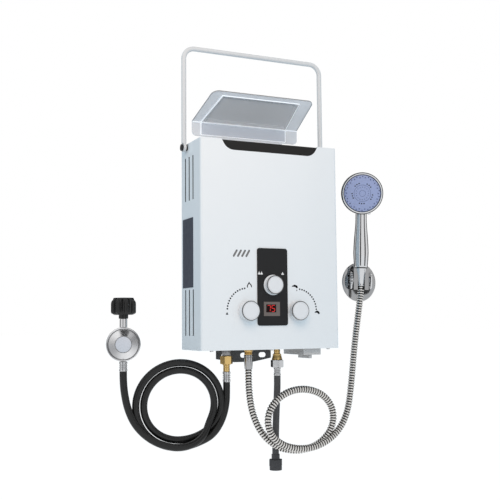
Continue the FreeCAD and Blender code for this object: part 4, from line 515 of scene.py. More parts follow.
@dataclass
class Draft:
    """Mesh being drafted in millimetres, then finished as one piece of the scene."""

    name: str
    mesh: bmesh.types.BMesh = field(default_factory=bmesh.new)
    weighted: bool = False

    def lathe(self, profile: Outline, at: Matrix, steps: int = 64) -> "Draft":
        """Adds a closed turned shape.

        Args:
            profile: (radius, height) pairs; the first and last lie on the axis or join up.
            at: matrix that seats the axis.
            steps: points round each ring.

        Returns:
            The draft itself.
        """
        rings = []
        for radius, high in profile:
            spots = [(0.0, 0.0)] if radius < ON_AXIS else circle(radius, steps)
            rings.append([self.mesh.verts.new(at @ Vector((*spot, high))) for spot in spots])
        pairs = list(zip(rings, rings[1:]))
        if len(rings[0]) > 1:
            pairs.append((rings[-1], rings[0]))
        for low, high in pairs:
            self.skin(low, high)
        return self

    def skin(self, low: list, high: list) -> None:
        """Faces between two closed rings, either of which may be a single point.

        Args:
            low: vertices of one ring.
            high: vertices of the next ring.
        """
        count = max(len(low), len(high))
        for k in range(count):
            after = (k + 1) % count
            corners = [low[k % len(low)], low[after % len(low)],
                       high[after % len(high)], high[k % len(high)]]
            kept = list(dict.fromkeys(corners))
            if len(kept) > 2:
                self.mesh.faces.new(kept)

    def loft(self, rings: Sequence[Sequence[Point]]) -> "Draft":
        """Adds a skin over rings of points, with its ends capped.

        Args:
            rings: closed rings with as many points each.

        Returns:
            The draft itself.
        """
        made = [[self.mesh.verts.new(Vector(p)) for p in ring] for ring in rings]
        for low, high in zip(made, made[1:]):
            self.skin(low, high)
        self.mesh.faces.new(made[0])
        self.mesh.faces.new(made[-1])
        return self

    def prism(self, outline: Outline, low: float, high: float, at: Matrix) -> "Draft":
        """Adds an extruded outline.

        Args:
            outline: (across, along) corners in order.
            low: height of the foot.
            high: height of the top.
            at: matrix that seats the shape.

        Returns:
            The draft itself.
        """
        return self.loft([[at @ Vector((u, v, level)) for u, v in outline]
                          for level in (low, high)])

    def block(self, low: Point, high: Point) -> "Draft":
        """Adds a box between two corners."""
        outline = [(low[0], low[1]), (high[0], low[1]), (high[0], high[1]), (low[0], high[1])]
        return self.prism(outline, low[2], high[2], Matrix.Identity(4))

    def tube(self, line: Sequence[Point], radius: float, steps: int = 32) -> "Draft":
        """Adds a round rod along a line of points.

        Args:
            line: points along the rod.
            radius: radius of the rod.
            steps: points round the rod.

        Returns:
            The draft itself.
        """
        points = [Vector(p) for p in line]
        ahead = (points[1] - points[0]).normalized()
        side = ahead.orthogonal().normalized()
        turns = [2 * math.pi * n / steps for n in range(steps)]
        rings = []
        for k, spot in enumerate(points):
            before = points[max(k - 1, 0)]
            after = points[min(k + 1, len(points) - 1)]
            ahead = (after - before).normalized()
            side = (side - ahead * side.dot(ahead)).normalized()
            other = ahead.cross(side)
            rings.append([spot + (side * math.cos(t) + other * math.sin(t)) * radius
                          for t in turns])
        return self.loft(rings)

    def cad(self, *nodes: str) -> "Draft":
        """Adds merged copies of CAD nodes.

        Args:
            nodes: names of the nodes.

        Returns:
            The draft itself.
        """
        self.weighted = True
        for node in nodes:
            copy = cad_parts[node].data.copy()
            if "custom_normal" in copy.attributes:
                copy.attributes.remove(copy.attributes["custom_normal"])
            copy.transform(Matrix.Scale(1 / MM, 4))
            self.mesh.from_mesh(copy)
            bpy.data.meshes.remove(copy)
        bmesh.ops.remove_doubles(self.mesh, verts=self.mesh.verts, dist=MERGED)
        bmesh.ops.dissolve_limit(self.mesh, angle_limit=math.radians(FLAT),
                                 verts=self.mesh.verts, edges=self.mesh.edges)
        return self

    def rounded(self, offset: float, segments: int = 2, sharper: float = 30.0) -> "Draft":
        """Rounds the edges that are sharper than an angle in degrees.

        Args:
            offset: width of the rounding.
            segments: faces across each rounding.
            sharper: the angle in degrees.

        Returns:
            The draft itself.
        """
        self.mesh.normal_update()
        limit = math.radians(sharper)
        sharp = [e for e in self.mesh.edges
                 if len(e.link_faces) == 2 and e.calc_face_angle(0) > limit]
        bmesh.ops.bevel(self.mesh, geom=sharp, offset=offset, segments=segments, profile=0.5,
                        affect="EDGES", clamp_overlap=True)
        return self

    def settle(self) -> bpy.types.Mesh:
        """Turns the faces outwards and gives up the draft as a mesh in metres.

        Returns:
            The mesh.
        """
        bmesh.ops.recalc_face_normals(self.mesh, faces=self.mesh.faces)
        made = bpy.data.meshes.new(self.name)
        self.mesh.to_mesh(made)
        self.mesh.free()
        made.transform(Matrix.Scale(MM, 4))
        return made

    def finish(self, look: Look, body: Body, replaces: Iterable[str] = (),
               smooth: float = 32.0) -> bpy.types.Object:
        """Makes the piece: outward faces, smooth shading, finish and body, and hides the CAD nodes
        that it stands for.

        Args:
            look: the finish.
            body: the body that it rides on.
            replaces: CAD nodes that it stands for.
            smooth: angle in degrees below which edges shade smooth.

        Returns:
            The finished object.
        """
        made = self.settle()
        shade(made, smooth)
        thing = linked(self.name, made)
        if self.weighted:
            even_shading(made, smooth)
        return dress(thing, look, body, replaces)


def shade(mesh: bpy.types.Mesh, smooth: float) -> None:
    """Shades a mesh smooth over the edges below an angle in degrees."""
    mesh.shade_smooth()
    mesh.set_sharp_from_angle(angle=math.radians(smooth))


def even_shading(mesh: bpy.types.Mesh, smooth: float) -> None:
    """Lets large flat faces rule the shading of the narrow rounds beside them.

    Args:
        mesh: the mesh, in metres.
        smooth: angle in degrees below which faces shade as one.
    """
    limit = math.cos(math.radians(smooth))
    around: list[list[int]] = [[] for _ in mesh.vertices]
    for face in mesh.polygons:
        for corner in face.vertices:
            around[corner].append(face.index)
    facing = [face.normal.copy() for face in mesh.polygons]
    weight = [(face.area / MM ** 2) ** 2 for face in mesh.polygons]
    made = []
    for face in mesh.polygons:
        own = facing[face.index]
        for corner in face.vertices:
            total = own * 1e-9
            for other in around[corner]:
                if facing[other].dot(own) > limit:
                    total = total + facing[other] * weight[other]
            made.append(total.normalized())
    mesh.normals_split_custom_set(made)


def dress(thing: bpy.types.Object, look: Look, body: Body | None,
          replaces: Iterable[str] = ()) -> bpy.types.Object:
    """Gives an object its finish and body, and hides the CAD nodes that it stands for.

    Args:
        thing: the object.
        look: its finish.
        body: the body that it rides on, or None.
        replaces: CAD nodes that it stands for.

    Returns:
        The same object.
    """
    thing.data.materials.clear()
    thing.data.materials.append(look.material())
    if body is not None:
        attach(thing, body.value)
    if replaces:
        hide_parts(*replaces)
    return thing


def shell(name: str, node: str, look: Look, offset: float, body: Body = Body.HEATER,
          segments: int = 2, sharper: float = 30.0, smooth: float = 40.0) -> bpy.types.Object:
    """Piece that is a CAD node's own shape with rounded edges.

    Args:
        name: name of the piece.
        node: the CAD node that it copies and stands for.
        look: the finish.
        offset: width of the rounding in millimetres.
        body: the body that it rides on.
        segments: faces across each rounding.
        sharper: angle in degrees above which an edge is rounded.
        smooth: angle in degrees below which edges shade smooth.

    Returns:
        The finished piece.
    """
    draft = Draft(name).cad(node).rounded(offset, segments, sharper)
    return draft.finish(look, body, (node,), smooth)


def turned(name: str, profile: Outline, at: Matrix, look: Look, nodes: Iterable[str] = (),
           body: Body = Body.HEATER, smooth: float = 40.0, steps: int = 64) -> bpy.types.Object:
    """Piece that is one turned shape.

    Args:
        name: name of the piece.
        profile: (radius, height) pairs, as for a draft's lathe.
        at: matrix that seats the axis.
        look: the finish.
        nodes: CAD nodes that it stands for.
        body: the body that it rides on.
        smooth: angle in degrees below which edges shade smooth.
        steps: points round each ring.

    Returns:
        The finished piece.
    """
    return Draft(name).lathe(profile, at, steps).finish(look, body, nodes, smooth)


def rounded_outline(low: Point, high: Point, radii: Point, steps: int = 6) -> Outline:
    """Corners of a rectangle with four round corners, from the low left one onwards.

    Args:
        low: low left corner.
        high: high right corner.
        radii: radius of each corner, in their order.
        steps: sides of each round.

    Returns:
        The points in order.
    """
    corners = [(low[0], low[1], 180), (high[0], low[1], 270), (high[0], high[1], 0),
               (low[0], high[1], 90)]
    made = []
    for (across, along, start), radius in zip(corners, radii):
        centre = (across + (radius if across == low[0] else -radius),
                  along + (radius if along == low[1] else -radius))
        made += [(centre[0] + u, centre[1] + v) for u, v in bow(radius, start, 90, steps)]
    return made


# ---------------------------------------------------------------- repeated shapes


class Pattern(Tree):
    """Geometry Nodes tree with named inputs, run once on a host mesh and baked to a plain mesh."""

    family = "GeometryNode"

    def __init__(self, name: str, **inputs: float) -> None:
        """Opens a tree with a geometry input, one named input per size, and a geometry output.

        Args:
            name: name of the tree.
            inputs: the named inputs' values.
        """
        super().__init__(bpy.data.node_groups.new(name, "GeometryNodeTree"))
        self.values = inputs
        side = self.tree.interface
        side.new_socket("Geometry", in_out="INPUT", socket_type="NodeSocketGeometry")
        for key, value in inputs.items():
            kind = "NodeSocketInt" if isinstance(value, int) else "NodeSocketFloat"
            side.new_socket(key, in_out="INPUT", socket_type=kind)
        side.new_socket("Geometry", in_out="OUTPUT", socket_type="NodeSocketGeometry")
        self.sizes = self.tree.nodes.new("NodeGroupInput").outputs
        self.end = self.tree.nodes.new("NodeGroupOutput")

    def bake(self, host: bpy.types.Object, shape: bpy.types.NodeSocket, look: Look,
             name: str, smooth: float = 32.0) -> bpy.types.Object:
        """Ends the tree, runs it on a host object and returns the plain mesh piece.

        Args:
            host: object that carries the modifier; it is removed.
            shape: geometry socket that ends the tree.
            look: the finish set in the tree.
            name: name of the new piece.
            smooth: angle in degrees below which edges shade smooth.

        Returns:
            The new object, with no modifier and no parent.
        """
        real = self.add("RealizeInstances", {"Geometry": shape})
        painted = self.add("SetMaterial", {"Geometry": real.outputs[0],
                                           "Material": look.material()})
        self.put(self.end.inputs[0], painted.outputs[0])
        modifier = host.modifiers.new("pattern", "NODES")
        modifier.node_group = self.tree
        for item in self.tree.interface.items_tree:
            if item.item_type == "SOCKET" and item.in_out == "INPUT" and item.name in self.values:
                modifier[item.identifier] = self.values[item.name]
        view = bpy.context.evaluated_depsgraph_get()
        made = bpy.data.meshes.new_from_object(host.evaluated_get(view))
        host.modifiers.clear()
        bpy.data.objects.remove(host)
        made.name = name
        shade(made, smooth)
        return linked(name, made)


def host_points(name: str, points: Iterable[Point]) -> bpy.types.Object:
    """Object of loose points, in millimetres, that a pattern puts copies on.

    Args:
        name: name of the object.
        points: the places.

    Returns:
        The object.
    """
    made = bpy.data.meshes.new(name)
    made.from_pydata([Vector(p) * MM for p in points], [], [])
    return linked(name, made)


def scatter(name: str, shape: Draft, points: Sequence[Point], turns: Sequence[Point], look: Look,
            body: Body) -> bpy.types.Object:
    """Copies of one shape on points, each with its own turn.

    Args:
        name: name of the piece.
        shape: the drafted shape, round its own origin.
        points: places in millimetres.
        turns: Euler angles in radians, one per place.
        look: the finish.
        body: the body it rides on.

    Returns:
        The finished piece.
    """
    host = host_points(name + "_points", points)
    held = host.data.attributes.new("turn", "FLOAT_VECTOR", "POINT")
    held.data.foreach_set("vector", [c for turn in turns for c in turn])
    model = linked(shape.name, shape.settle())
    pattern = Pattern(name + "_pattern", Scale=1.0)
    info = pattern.add("ObjectInfo", {"Object": model})
    turn = pattern.add("InputNamedAttribute", {"Name": "turn"}, data_type="FLOAT_VECTOR")
    spin = pattern.add("FunctionNodeEulerToRotation", {0: turn.outputs[0]})
    placed = pattern.add("InstanceOnPoints", {
        "Points": pattern.sizes["Geometry"], "Instance": info.outputs["Geometry"],
        "Rotation": spin.outputs[0], "Scale": pattern.sizes["Scale"]})
    piece = pattern.bake(host, placed.outputs[0], look, name)
    bpy.data.objects.remove(model)
    return dress(piece, look, body)


# ---------------------------------------------------------------- stage


def looking(at: Point, towards: Point) -> Matrix:
    """Matrix that stands at a point and looks down its -Z at another."""
    ahead = Vector(towards) - Vector(at)
    return Matrix.Translation(at) @ ahead.to_track_quat("-Z", "Y").to_matrix().to_4x4()


def sheet(name: str, wide: float, high: float, level: float = 0.0) -> bpy.types.Object:
    """Flat rectangle about its middle, by its half sizes in metres.

    Args:
        name: name of the object.
        wide: half its width.
        high: half its height.
        level: its distance from zero along Z.

    Returns:
        The object.
    """
    made = bpy.data.meshes.new(name)
    made.from_pydata([(-wide, -high, level), (wide, -high, level), (wide, high, level),
                      (-wide, high, level)], [], [(0, 1, 2, 3)])
    return linked(name, made)


@dataclass
class Studio:
    """Camera, lights, pale floor and white background."""

    camera_at: tuple[float, float, float] = (-0.705, -1.543, -0.317)
    yaw: float = 24.6
    pitch: float = 4.97
    roll: float = -0.49
    lens: float = 60.55
    sensor: float = 36.0
    nearest: float = 0.05
    sky: Colour = (0.72, 0.88, 1.0)
    sky_level: float = 0.88
    floor_level: float = -0.72
    floor_reach: float = 30.0
    floor_grey: float = 0.92
    floor_share: float = 0.82
    floor_glow: float = 1.1
    key_at: tuple[float, float, float] = (-0.4, -1.05, 0.6)
    key_towards: tuple[float, float, float] = (-0.05, 0.0, -0.05)
    key_size: float = 0.95
    key_power: float = 7.9
    key_colour: Colour = (1.0, 0.68, 0.46)
    cards: tuple = (("card_front", 236.0, 18.0, 0.03), ("card_side", 310.0, 22.0, 0.1),
                    ("card_left", 150.0, 36.0, 0.22), ("card_back", 58.0, 118.0, 0.03),
                    ("card_right", 6.0, 12.0, 0.45))
    card_reach: float = 3.0
    card_level: float = 0.4

    def build(self) -> None:
        """Makes all of the stage."""
        self.camera()
        self.world()
        self.floor()
        self.key()
        self.surround()
        bpy.context.scene.view_settings.view_transform = "Standard"

    def camera(self) -> None:
        """Camera at the viewing angle, as a perspective lens without shift."""
        yaw, pitch, roll = (math.radians(a) for a in (self.yaw, self.pitch, self.roll))
        ahead = Vector((math.sin(yaw) * math.cos(pitch), math.cos(yaw) * math.cos(pitch),
                        math.sin(pitch)))
        right = Vector((math.cos(yaw), -math.sin(yaw), 0))
        up = right.cross(ahead)
        across = right * math.cos(roll) + up * math.sin(roll)
        upward = up * math.cos(roll) - right * math.sin(roll)
        data = bpy.data.cameras.new("camera")
        data.lens = self.lens
        data.sensor_width = self.sensor
        data.clip_start = self.nearest
        camera = linked("camera", data)
        turn = Matrix((across, upward, -ahead)).transposed().to_4x4()
        camera.matrix_world = Matrix.Translation(self.camera_at) @ turn
        bpy.context.scene.camera = camera

    def world(self) -> None:
        """White for the camera and for reflections, a cool soft level for the light."""
        world = bpy.data.worlds.new("studio")
        bpy.context.scene.world = world
        world.use_nodes = True
        world.node_tree.nodes.clear()
        tree = Tree(world.node_tree)
        path = tree.add("LightPath").outputs
        also = tree.maths("MAXIMUM", path["Is Glossy Ray"], path["Is Transmission Ray"])
        seen = tree.maths("MAXIMUM", path["Is Camera Ray"], also)
        soft = tree.add("Background", {0: (*self.sky, 1), 1: self.sky_level})
        white = tree.add("Background", {0: (1, 1, 1, 1)})
        mix = tree.add("MixShader", {0: seen, 1: soft.outputs[0], 2: white.outputs[0]})
        tree.add("OutputWorld", {0: mix.outputs[0]})

    def floor(self) -> None:
        """Pale floor that keeps a light shadow."""
        floor = sheet("floor", self.floor_reach, self.floor_reach, self.floor_level)
        bench = Bench("floor")
        bench.set(Base_Color=(*[self.floor_grey] * 3, 1), Roughness=1.0, Specular_IOR_Level=0.0)
        path = bench.add("LightPath").outputs
        seen = bench.maths("MAXIMUM", path["Is Camera Ray"], path["Is Glossy Ray"])
        share = bench.maths("MULTIPLY", seen, self.floor_share)
        glow = bench.add("Emission", {0: (1, 1, 1, 1), 1: self.floor_glow})
        mix = bench.add("MixShader", {0: share, 1: bench.shader.outputs[0], 2: glow.outputs[0]})
        bench.surface(mix)
        floor.data.materials.append(bench.material)

    def key(self) -> None:
        """Soft warm square lamp that reflections don't show."""
        data = bpy.data.lights.new("key", "AREA")
        data.size = self.key_size
        data.energy = self.key_power
        data.color = self.key_colour
        lamp = linked("key", data)
        lamp.visible_glossy = False
        lamp.matrix_world = looking(self.key_at, self.key_towards)

    def surround(self) -> None:
        """Grey cards round the object, by angle and width in degrees, and one over it."""
        reach, level = self.card_reach, self.card_level
        for name, angle, wide, grey in self.cards:
            at = (*polar(reach, math.radians(angle)), level)
            half = reach * math.tan(math.radians(wide / 2))
            self.card(name, at, (0.0, 0.0, level), (half, reach / 2), grey)
        self.card("card_over", (0.3, -0.3, 2.6), (0.0, 0.0, 0.0), (1.7, 1.0), 0.05)

    def card(self, name: str, at: Point, towards: Point, half: Point, grey: float) -> None:
        """Adds a card that only reflections see.

        Args:
            name: name of the card.
            at: its middle in metres.
            towards: the point that it faces.
            half: half its width and half its height.
            grey: the level that it glows with.
        """
        card = sheet(name, *half)
        card.matrix_world = looking(at, towards)
        bench = Bench(name)
        bench.surface(bench.add("Emission", {1: grey}))
        card.data.materials.append(bench.material)
        for ray in ("camera", "diffuse", "transmission", "volume_scatter", "shadow"):
            setattr(card, "visible_" + ray, False)


# ---------------------------------------------------------------- hoses


def spline(name: str, points: Sequence[Point], bevel: float = 0.0) -> bpy.types.Object:
    """Open smooth curve whose control points are a hose's route.

    Args:
        name: name of the object.
        points: the route in millimetres.
        bevel: radius of the round section in millimetres, or 0 for a bare line.

    Returns:
        The curve object.
    """
    data = bpy.data.curves.new(name, "CURVE")
    data.dimensions = "3D"
    data.resolution_u = data.render_resolution_u = LINE_STEPS
    data.bevel_depth = bevel * MM
    data.bevel_resolution = SECTION_STEPS
    data.use_fill_caps = True
    line = data.splines.new("NURBS")
    line.points.add(len(points) - 1)
    for held, spot in zip(line.points, points):
        held.co = (*(Vector(spot) * MM), 1)
    line.order_u = 3
    line.use_endpoint_u = True
    line.use_smooth = True
    return linked(name, data)


def centreline(points: Sequence[Point]) -> list[Vector]:
    """Points along a route's smooth line, in metres, as Blender gives them.

    Args:
        points: control points of the route in millimetres.

    Returns:
        The line's points in metres.
    """
    bare = spline("line", points)
    view = bpy.context.evaluated_depsgraph_get()
    made = bpy.data.meshes.new_from_object(bare.evaluated_get(view))
    line = [v.co.copy() for v in made.vertices]
    bpy.data.meshes.remove(made)
    data = bare.data
    bpy.data.objects.remove(bare)
    bpy.data.curves.remove(data)
    return line


def length_of(line: Sequence[Vector]) -> float:
    """Length of a line of points."""
    return sum((b - a).length for a, b in zip(line, line[1:]))


@dataclass
class GasHose:
    """Black rubber hose: down from the heater, two loose turns, and up to the regulator."""

    radius: float = 6.7
    exit: tuple[float, float, float] = (-73.0, -50.0, -428.6)
    middle: tuple[float, float] = (-168.3, -467.0)
    half_axes: tuple[float, float] = (85.8, 79.2)
    first_angle: float = -78.0
    angle_step: float = 22.5
    steps: int = 31
    narrow_from: float = -383.0
    narrow_over: float = 58.0
    narrowing: float = 0.178
    deep: float = -50.3
    dip: float = 9.0
    drop: tuple = ((-73, -50, -446), (-74, -51, -465), (-78.5, -52, -485.5), (-87, -53, -504.5),
                   (-99, -54, -520.5), (-115, -54.5, -532))
    lead: tuple = ((-120, -58, -521), (-136, -62.5, -534.5), (-156, -65, -542),
                   (-178.5, -65, -543.5), (-201, -63.5, -538.5), (-222, -61, -529.5),
                   (-241, -57.5, -515), (-256.5, -53.5, -496), (-267.5, -51, -471),
                   (-273.5, -50.2, -444), (-276, -50, -419.5), (-276, -50, -402))

    def turns(self) -> list[tuple[float, float, float]]:
        """Control points of the two turns, clockwise seen from the front.

        Returns:
            The points in millimetres.
        """
        made = []
        wide, high = self.half_axes
        for step in range(self.steps):
            angle = self.first_angle - self.angle_step * step
            inward = min(max((self.narrow_from - angle) / self.narrow_over, 0.0), 1.0)
            share = 1.0 - self.narrowing * inward
            deep = self.deep + self.dip * math.sin(math.pi * inward)
            turn = math.radians(angle)
            made.append((self.middle[0] + wide * share * math.cos(turn), deep,
                         self.middle[1] + high * share * math.sin(turn)))
        return made

    def build(self, pieces: Iterable[bpy.types.Object]) -> None:
        """Args:
            pieces: fittings on the hose; not used.
        """
        route = [self.exit, *self.drop, *self.turns(), *self.lead]
        hose = spline("gas_hose", route, self.radius)
        dress(hose, Look.RUBBER, Body.HEATER, ("gas_hose_drop", "gas_hose_coil", "gas_hose_lead"))
        long = length_of(centreline(route))
        log.info("gas hose %.3f m", long)


@dataclass
class RippledHose:
    """Interlocked steel hose: rounded rings drawn along the route's smooth line."""

    radius: float = 7.0
    groove: float = 0.8
    pitch: float = 5.4
    per_ring: int = 4
    groove_points: int = 2
    sides: int = 22
    exit: tuple[float, float, float] = (-27.0, -50.0, -406.2)
    route: tuple = (
        (-27, -50, -430), (-26, -51, -455), (-23.5, -54, -480), (-18.5, -58.5, -502),
        (-10.5, -63, -521), (1.5, -66, -537), (18.5, -67.5, -550.5), (39, -68.5, -559.5),
        (61.5, -69, -564), (84.5, -69.5, -563.5), (107, -70.5, -557.5), (126, -72, -545.5),
        (139.5, -73.5, -529), (146, -75, -509), (143.5, -76.5, -488.5), (133, -78, -470.5),
        (115.5, -80, -456.5), (93, -82, -448), (69, -84, -445), (45, -86, -448),
        (23.5, -87.5, -457), (6.5, -88.5, -471), (-3.5, -89, -488.5), (-5.5, -89, -507.5),
        (0, -88.8, -525), (12, -88.5, -539.5), (29.5, -88, -550.5), (51, -87.5, -557),
        (75, -86.5, -559.5), (100, -84.5, -557), (124.5, -81.5, -549.5), (146.5, -77.5, -538),
        (164.5, -73.5, -522.5), (178, -69.5, -503.5), (187.5, -65, -482), (194.5, -60.5, -458.5),
        (201.5, -55.5, -431), (208, -50.5, -402), (214.5, -46, -372), (221.5, -42, -341.5),
        (228.5, -38.8, -311), (234.2, -37, -284), (240.43, -34.2, -254.5), (241, -34.4, -230),
        (241.29, -34.6, -215.5))
    bend_from: tuple[float, float, float] = (207.5, -50.5, -404.0)
    bend_to: tuple[float, float, float] = (240.6, -34.3, -243.0)

    def build(self) -> None:
        """Makes the rings along the line and bakes them into the hose piece."""
        points = [self.exit, *self.route]
        line = centreline(points)
        long = length_of(line)
        count = int(long / (self.pitch * MM)) * self.per_ring + 1
        host = spline("shower_hose_line", points)
        pattern = Pattern("interlocked_strip", Radius=self.radius * MM, Groove=self.groove,
                          Rings=count, Sides=self.sides)
        sizes = pattern.sizes
        fine = pattern.add("ResampleCurve", {"Curve": sizes["Geometry"], "Count": sizes["Rings"]})
        index = pattern.add("InputIndex").outputs[0]
        place = pattern.maths("MODULO", index, float(self.per_ring))
        low = pattern.maths("LESS_THAN", place, self.groove_points - 0.5)
        drop = pattern.maths("SUBTRACT", 1.0, sizes["Groove"])
        shaped = pattern.maths("SUBTRACT", 1.0, pattern.maths("MULTIPLY", low, drop))
        # marks the groove points, which the finish darkens as painted shade
        marked = pattern.add("StoreNamedAttribute", {"Geometry": fine.outputs[0], "Name": "groove",
                                                     "Value": low}, data_type="FLOAT")
        ring = pattern.add("CurvePrimitiveCircle", {"Resolution": sizes["Sides"],
                                                    "Radius": sizes["Radius"]})
        swept = pattern.add("CurveToMesh", {
            "Curve": marked.outputs[0], "Profile Curve": ring.outputs[0], "Scale": shaped,
            "Fill Caps": True})
        hose = pattern.bake(host, swept.outputs[0], Look.HOSE_STRIP, "shower_hose_strip", 60)
        dress(hose, Look.HOSE_STRIP, None, ("shower_hose",))
        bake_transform(hose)
        log.info("shower hose %.3f m", long)


@dataclass
class BraidedHose:
    """Dark braided inlet hose, a smooth tube whose braid follows its own UV map."""

    radius: float = 6.5
    sides: int = 40
    exit: tuple[float, float, float] = (35.0, -50.0, -420.0)
    route: tuple = ((35, -50, -429), (34.6, -50.4, -442), (33, -50, -475), (31, -50.4, -508),
                    (29.6, -50, -556), (29.6, -50, -571))

    def build(self, pieces: Iterable[bpy.types.Object]) -> None:
        """Args:
            pieces: fittings on the hose; not used.
        """
        line = centreline([self.exit, *self.route])
        draft = Draft("cold_hose_braid").tube([p / MM for p in line], self.radius, self.sides)
        held = draft.mesh.loops.layers.uv.new("braid")
        reach = [0.0]
        for a, b in zip(line, line[1:]):
            reach.append(reach[-1] + (b - a).length)
        draft.mesh.verts.ensure_lookup_table()
        for face in draft.mesh.faces:
            places = [divmod(loop.vert.index, self.sides) for loop in face.loops]
            last = any(around > 1 for _, around in places)
            for loop, (step, around) in zip(face.loops, places):
                if last and around == 0:
                    around = self.sides
                loop[held].uv = (around / self.sides, reach[step])
        hose = draft.finish(Look.BRAID, Body.HEATER, ("cold_hose",), 60)


# ---------------------------------------------------------------- casing


def keep(look: Look, *nodes: str) -> None:
    """Gives CAD nodes that stay as they are a finish."""
    for node in nodes:
        dress(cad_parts[node], look, None)


def screw(radius: float, height: float) -> Draft:
    """Pan-head screw with a cross recess, standing on z 0 with its head up.

    Args:
        radius: radius of the head.
        height: height of the head.

    Returns:
        The draft.
    """
    draft = Draft("screw")
    draft.lathe([(0, -1.0), (radius * 0.5, -1.0), (radius * 0.5, 0), (radius, 0),
                 (radius, height * 0.35), (radius * 0.86, height * 0.78), (radius * 0.55, height),
                 (0, height)], Matrix.Identity(4), SCREW_STEPS)
    long, half = radius * 0.5, radius * 0.09
    for turn in (0, math.pi / 2):
        draft.prism([(-long, -half), (long, -half), (long, half), (-long, half)],
                    height * 0.9, height * 1.02, Matrix.Rotation(turn, 4, "Z"))
    return draft


@dataclass
class Casing:
    """White cover, galvanised back, black hood, wall bracket, side plate and screws."""

    shells: tuple = (("casing_cover", "front_cover", Look.ENAMEL, 0.3),
                     ("casing_back", "back_plate", Look.ZINC, 0.25),
                     ("casing_floor", "bottom_panel", Look.ZINC, 0.2),
                     ("casing_hood", "flue_hood", Look.HOOD, 0.25),
                     ("foot_bracket", "wall_bracket", Look.SLATE, 0.3),
                     ("side_plate", "rating_plate", Look.PLATE, 0.15))
    half_width: float = 145.0
    slot_fronts: tuple[float, float, float] = (-19.0, -39.5, -60.0)
    slot_spans: tuple = ((-82, 3), (-340, -253))
    shade_strip: tuple[float, float] = (0.25, 2.3)
    shade_strip_gaps: tuple[float, float] = (0.05, 0.01)
    pane: tuple = ((-85, -194.5), (-51, -194.5), (-42, -177.5), (-76, -177.5))
    pane_face: float = -102.6
    pane_thick: float = 0.3

    def build(self) -> None:
        """Makes all of the casing."""
        for name, node, look, offset in self.shells:
            shell(name, node, look, offset)
        keep(Look.SCREW, "panel_screws")
        # dark strips of painted shade inside the side air slots
        self.shade_strips().finish(Look.DARK, Body.HEATER)
        pane = Draft("sight_pane").prism(self.pane, 0.0, self.pane_thick,
                                         seat((0, self.pane_face, 0), Facing.FRONT))
        pane.finish(Look.PANE, Body.HEATER)
        log.info("casing built")

    def shade_strips(self) -> Draft:
        """Dark strips of painted shade along one wall of each air slot in the two sides.

        Returns:
            The draft.
        """
        shade_strips = Draft("side_slot_lips")
        (thick, deep), (sunk, gap) = self.shade_strip, self.shade_strip_gaps
        for side in (-1, 1):
            across = sorted((side * (self.half_width - sunk), side * (self.half_width - deep)))
            for foot, top in self.slot_spans:
                for wall in self.slot_fronts:
                    shade_strips.block((across[0], wall - thick, foot), (across[1], wall - gap, top))
        return shade_strips


@dataclass
class Works:
    """Burner, heat exchanger, valves and wiring inside the casing."""

    def build(self) -> None:
        """Gives each inner node its finish."""
        keep(Look.COPPER, "fin_block", "coil_pipe")
        keep(Look.ZINC, "combustion_chamber")
        keep(Look.BURNER, "burner", "gas_spindle", "water_spindle", "season_spindle")
        keep(Look.CAST, "gas_manifold", "gas_valve")
        keep(Look.BRASS, "water_valve")
        keep(Look.DARK, "season_switch", "igniter_box")
        keep(Look.CERAMIC, "ignition_electrodes")
        keep(Look.CELL, "batteries")
        log.info("inner works dressed")


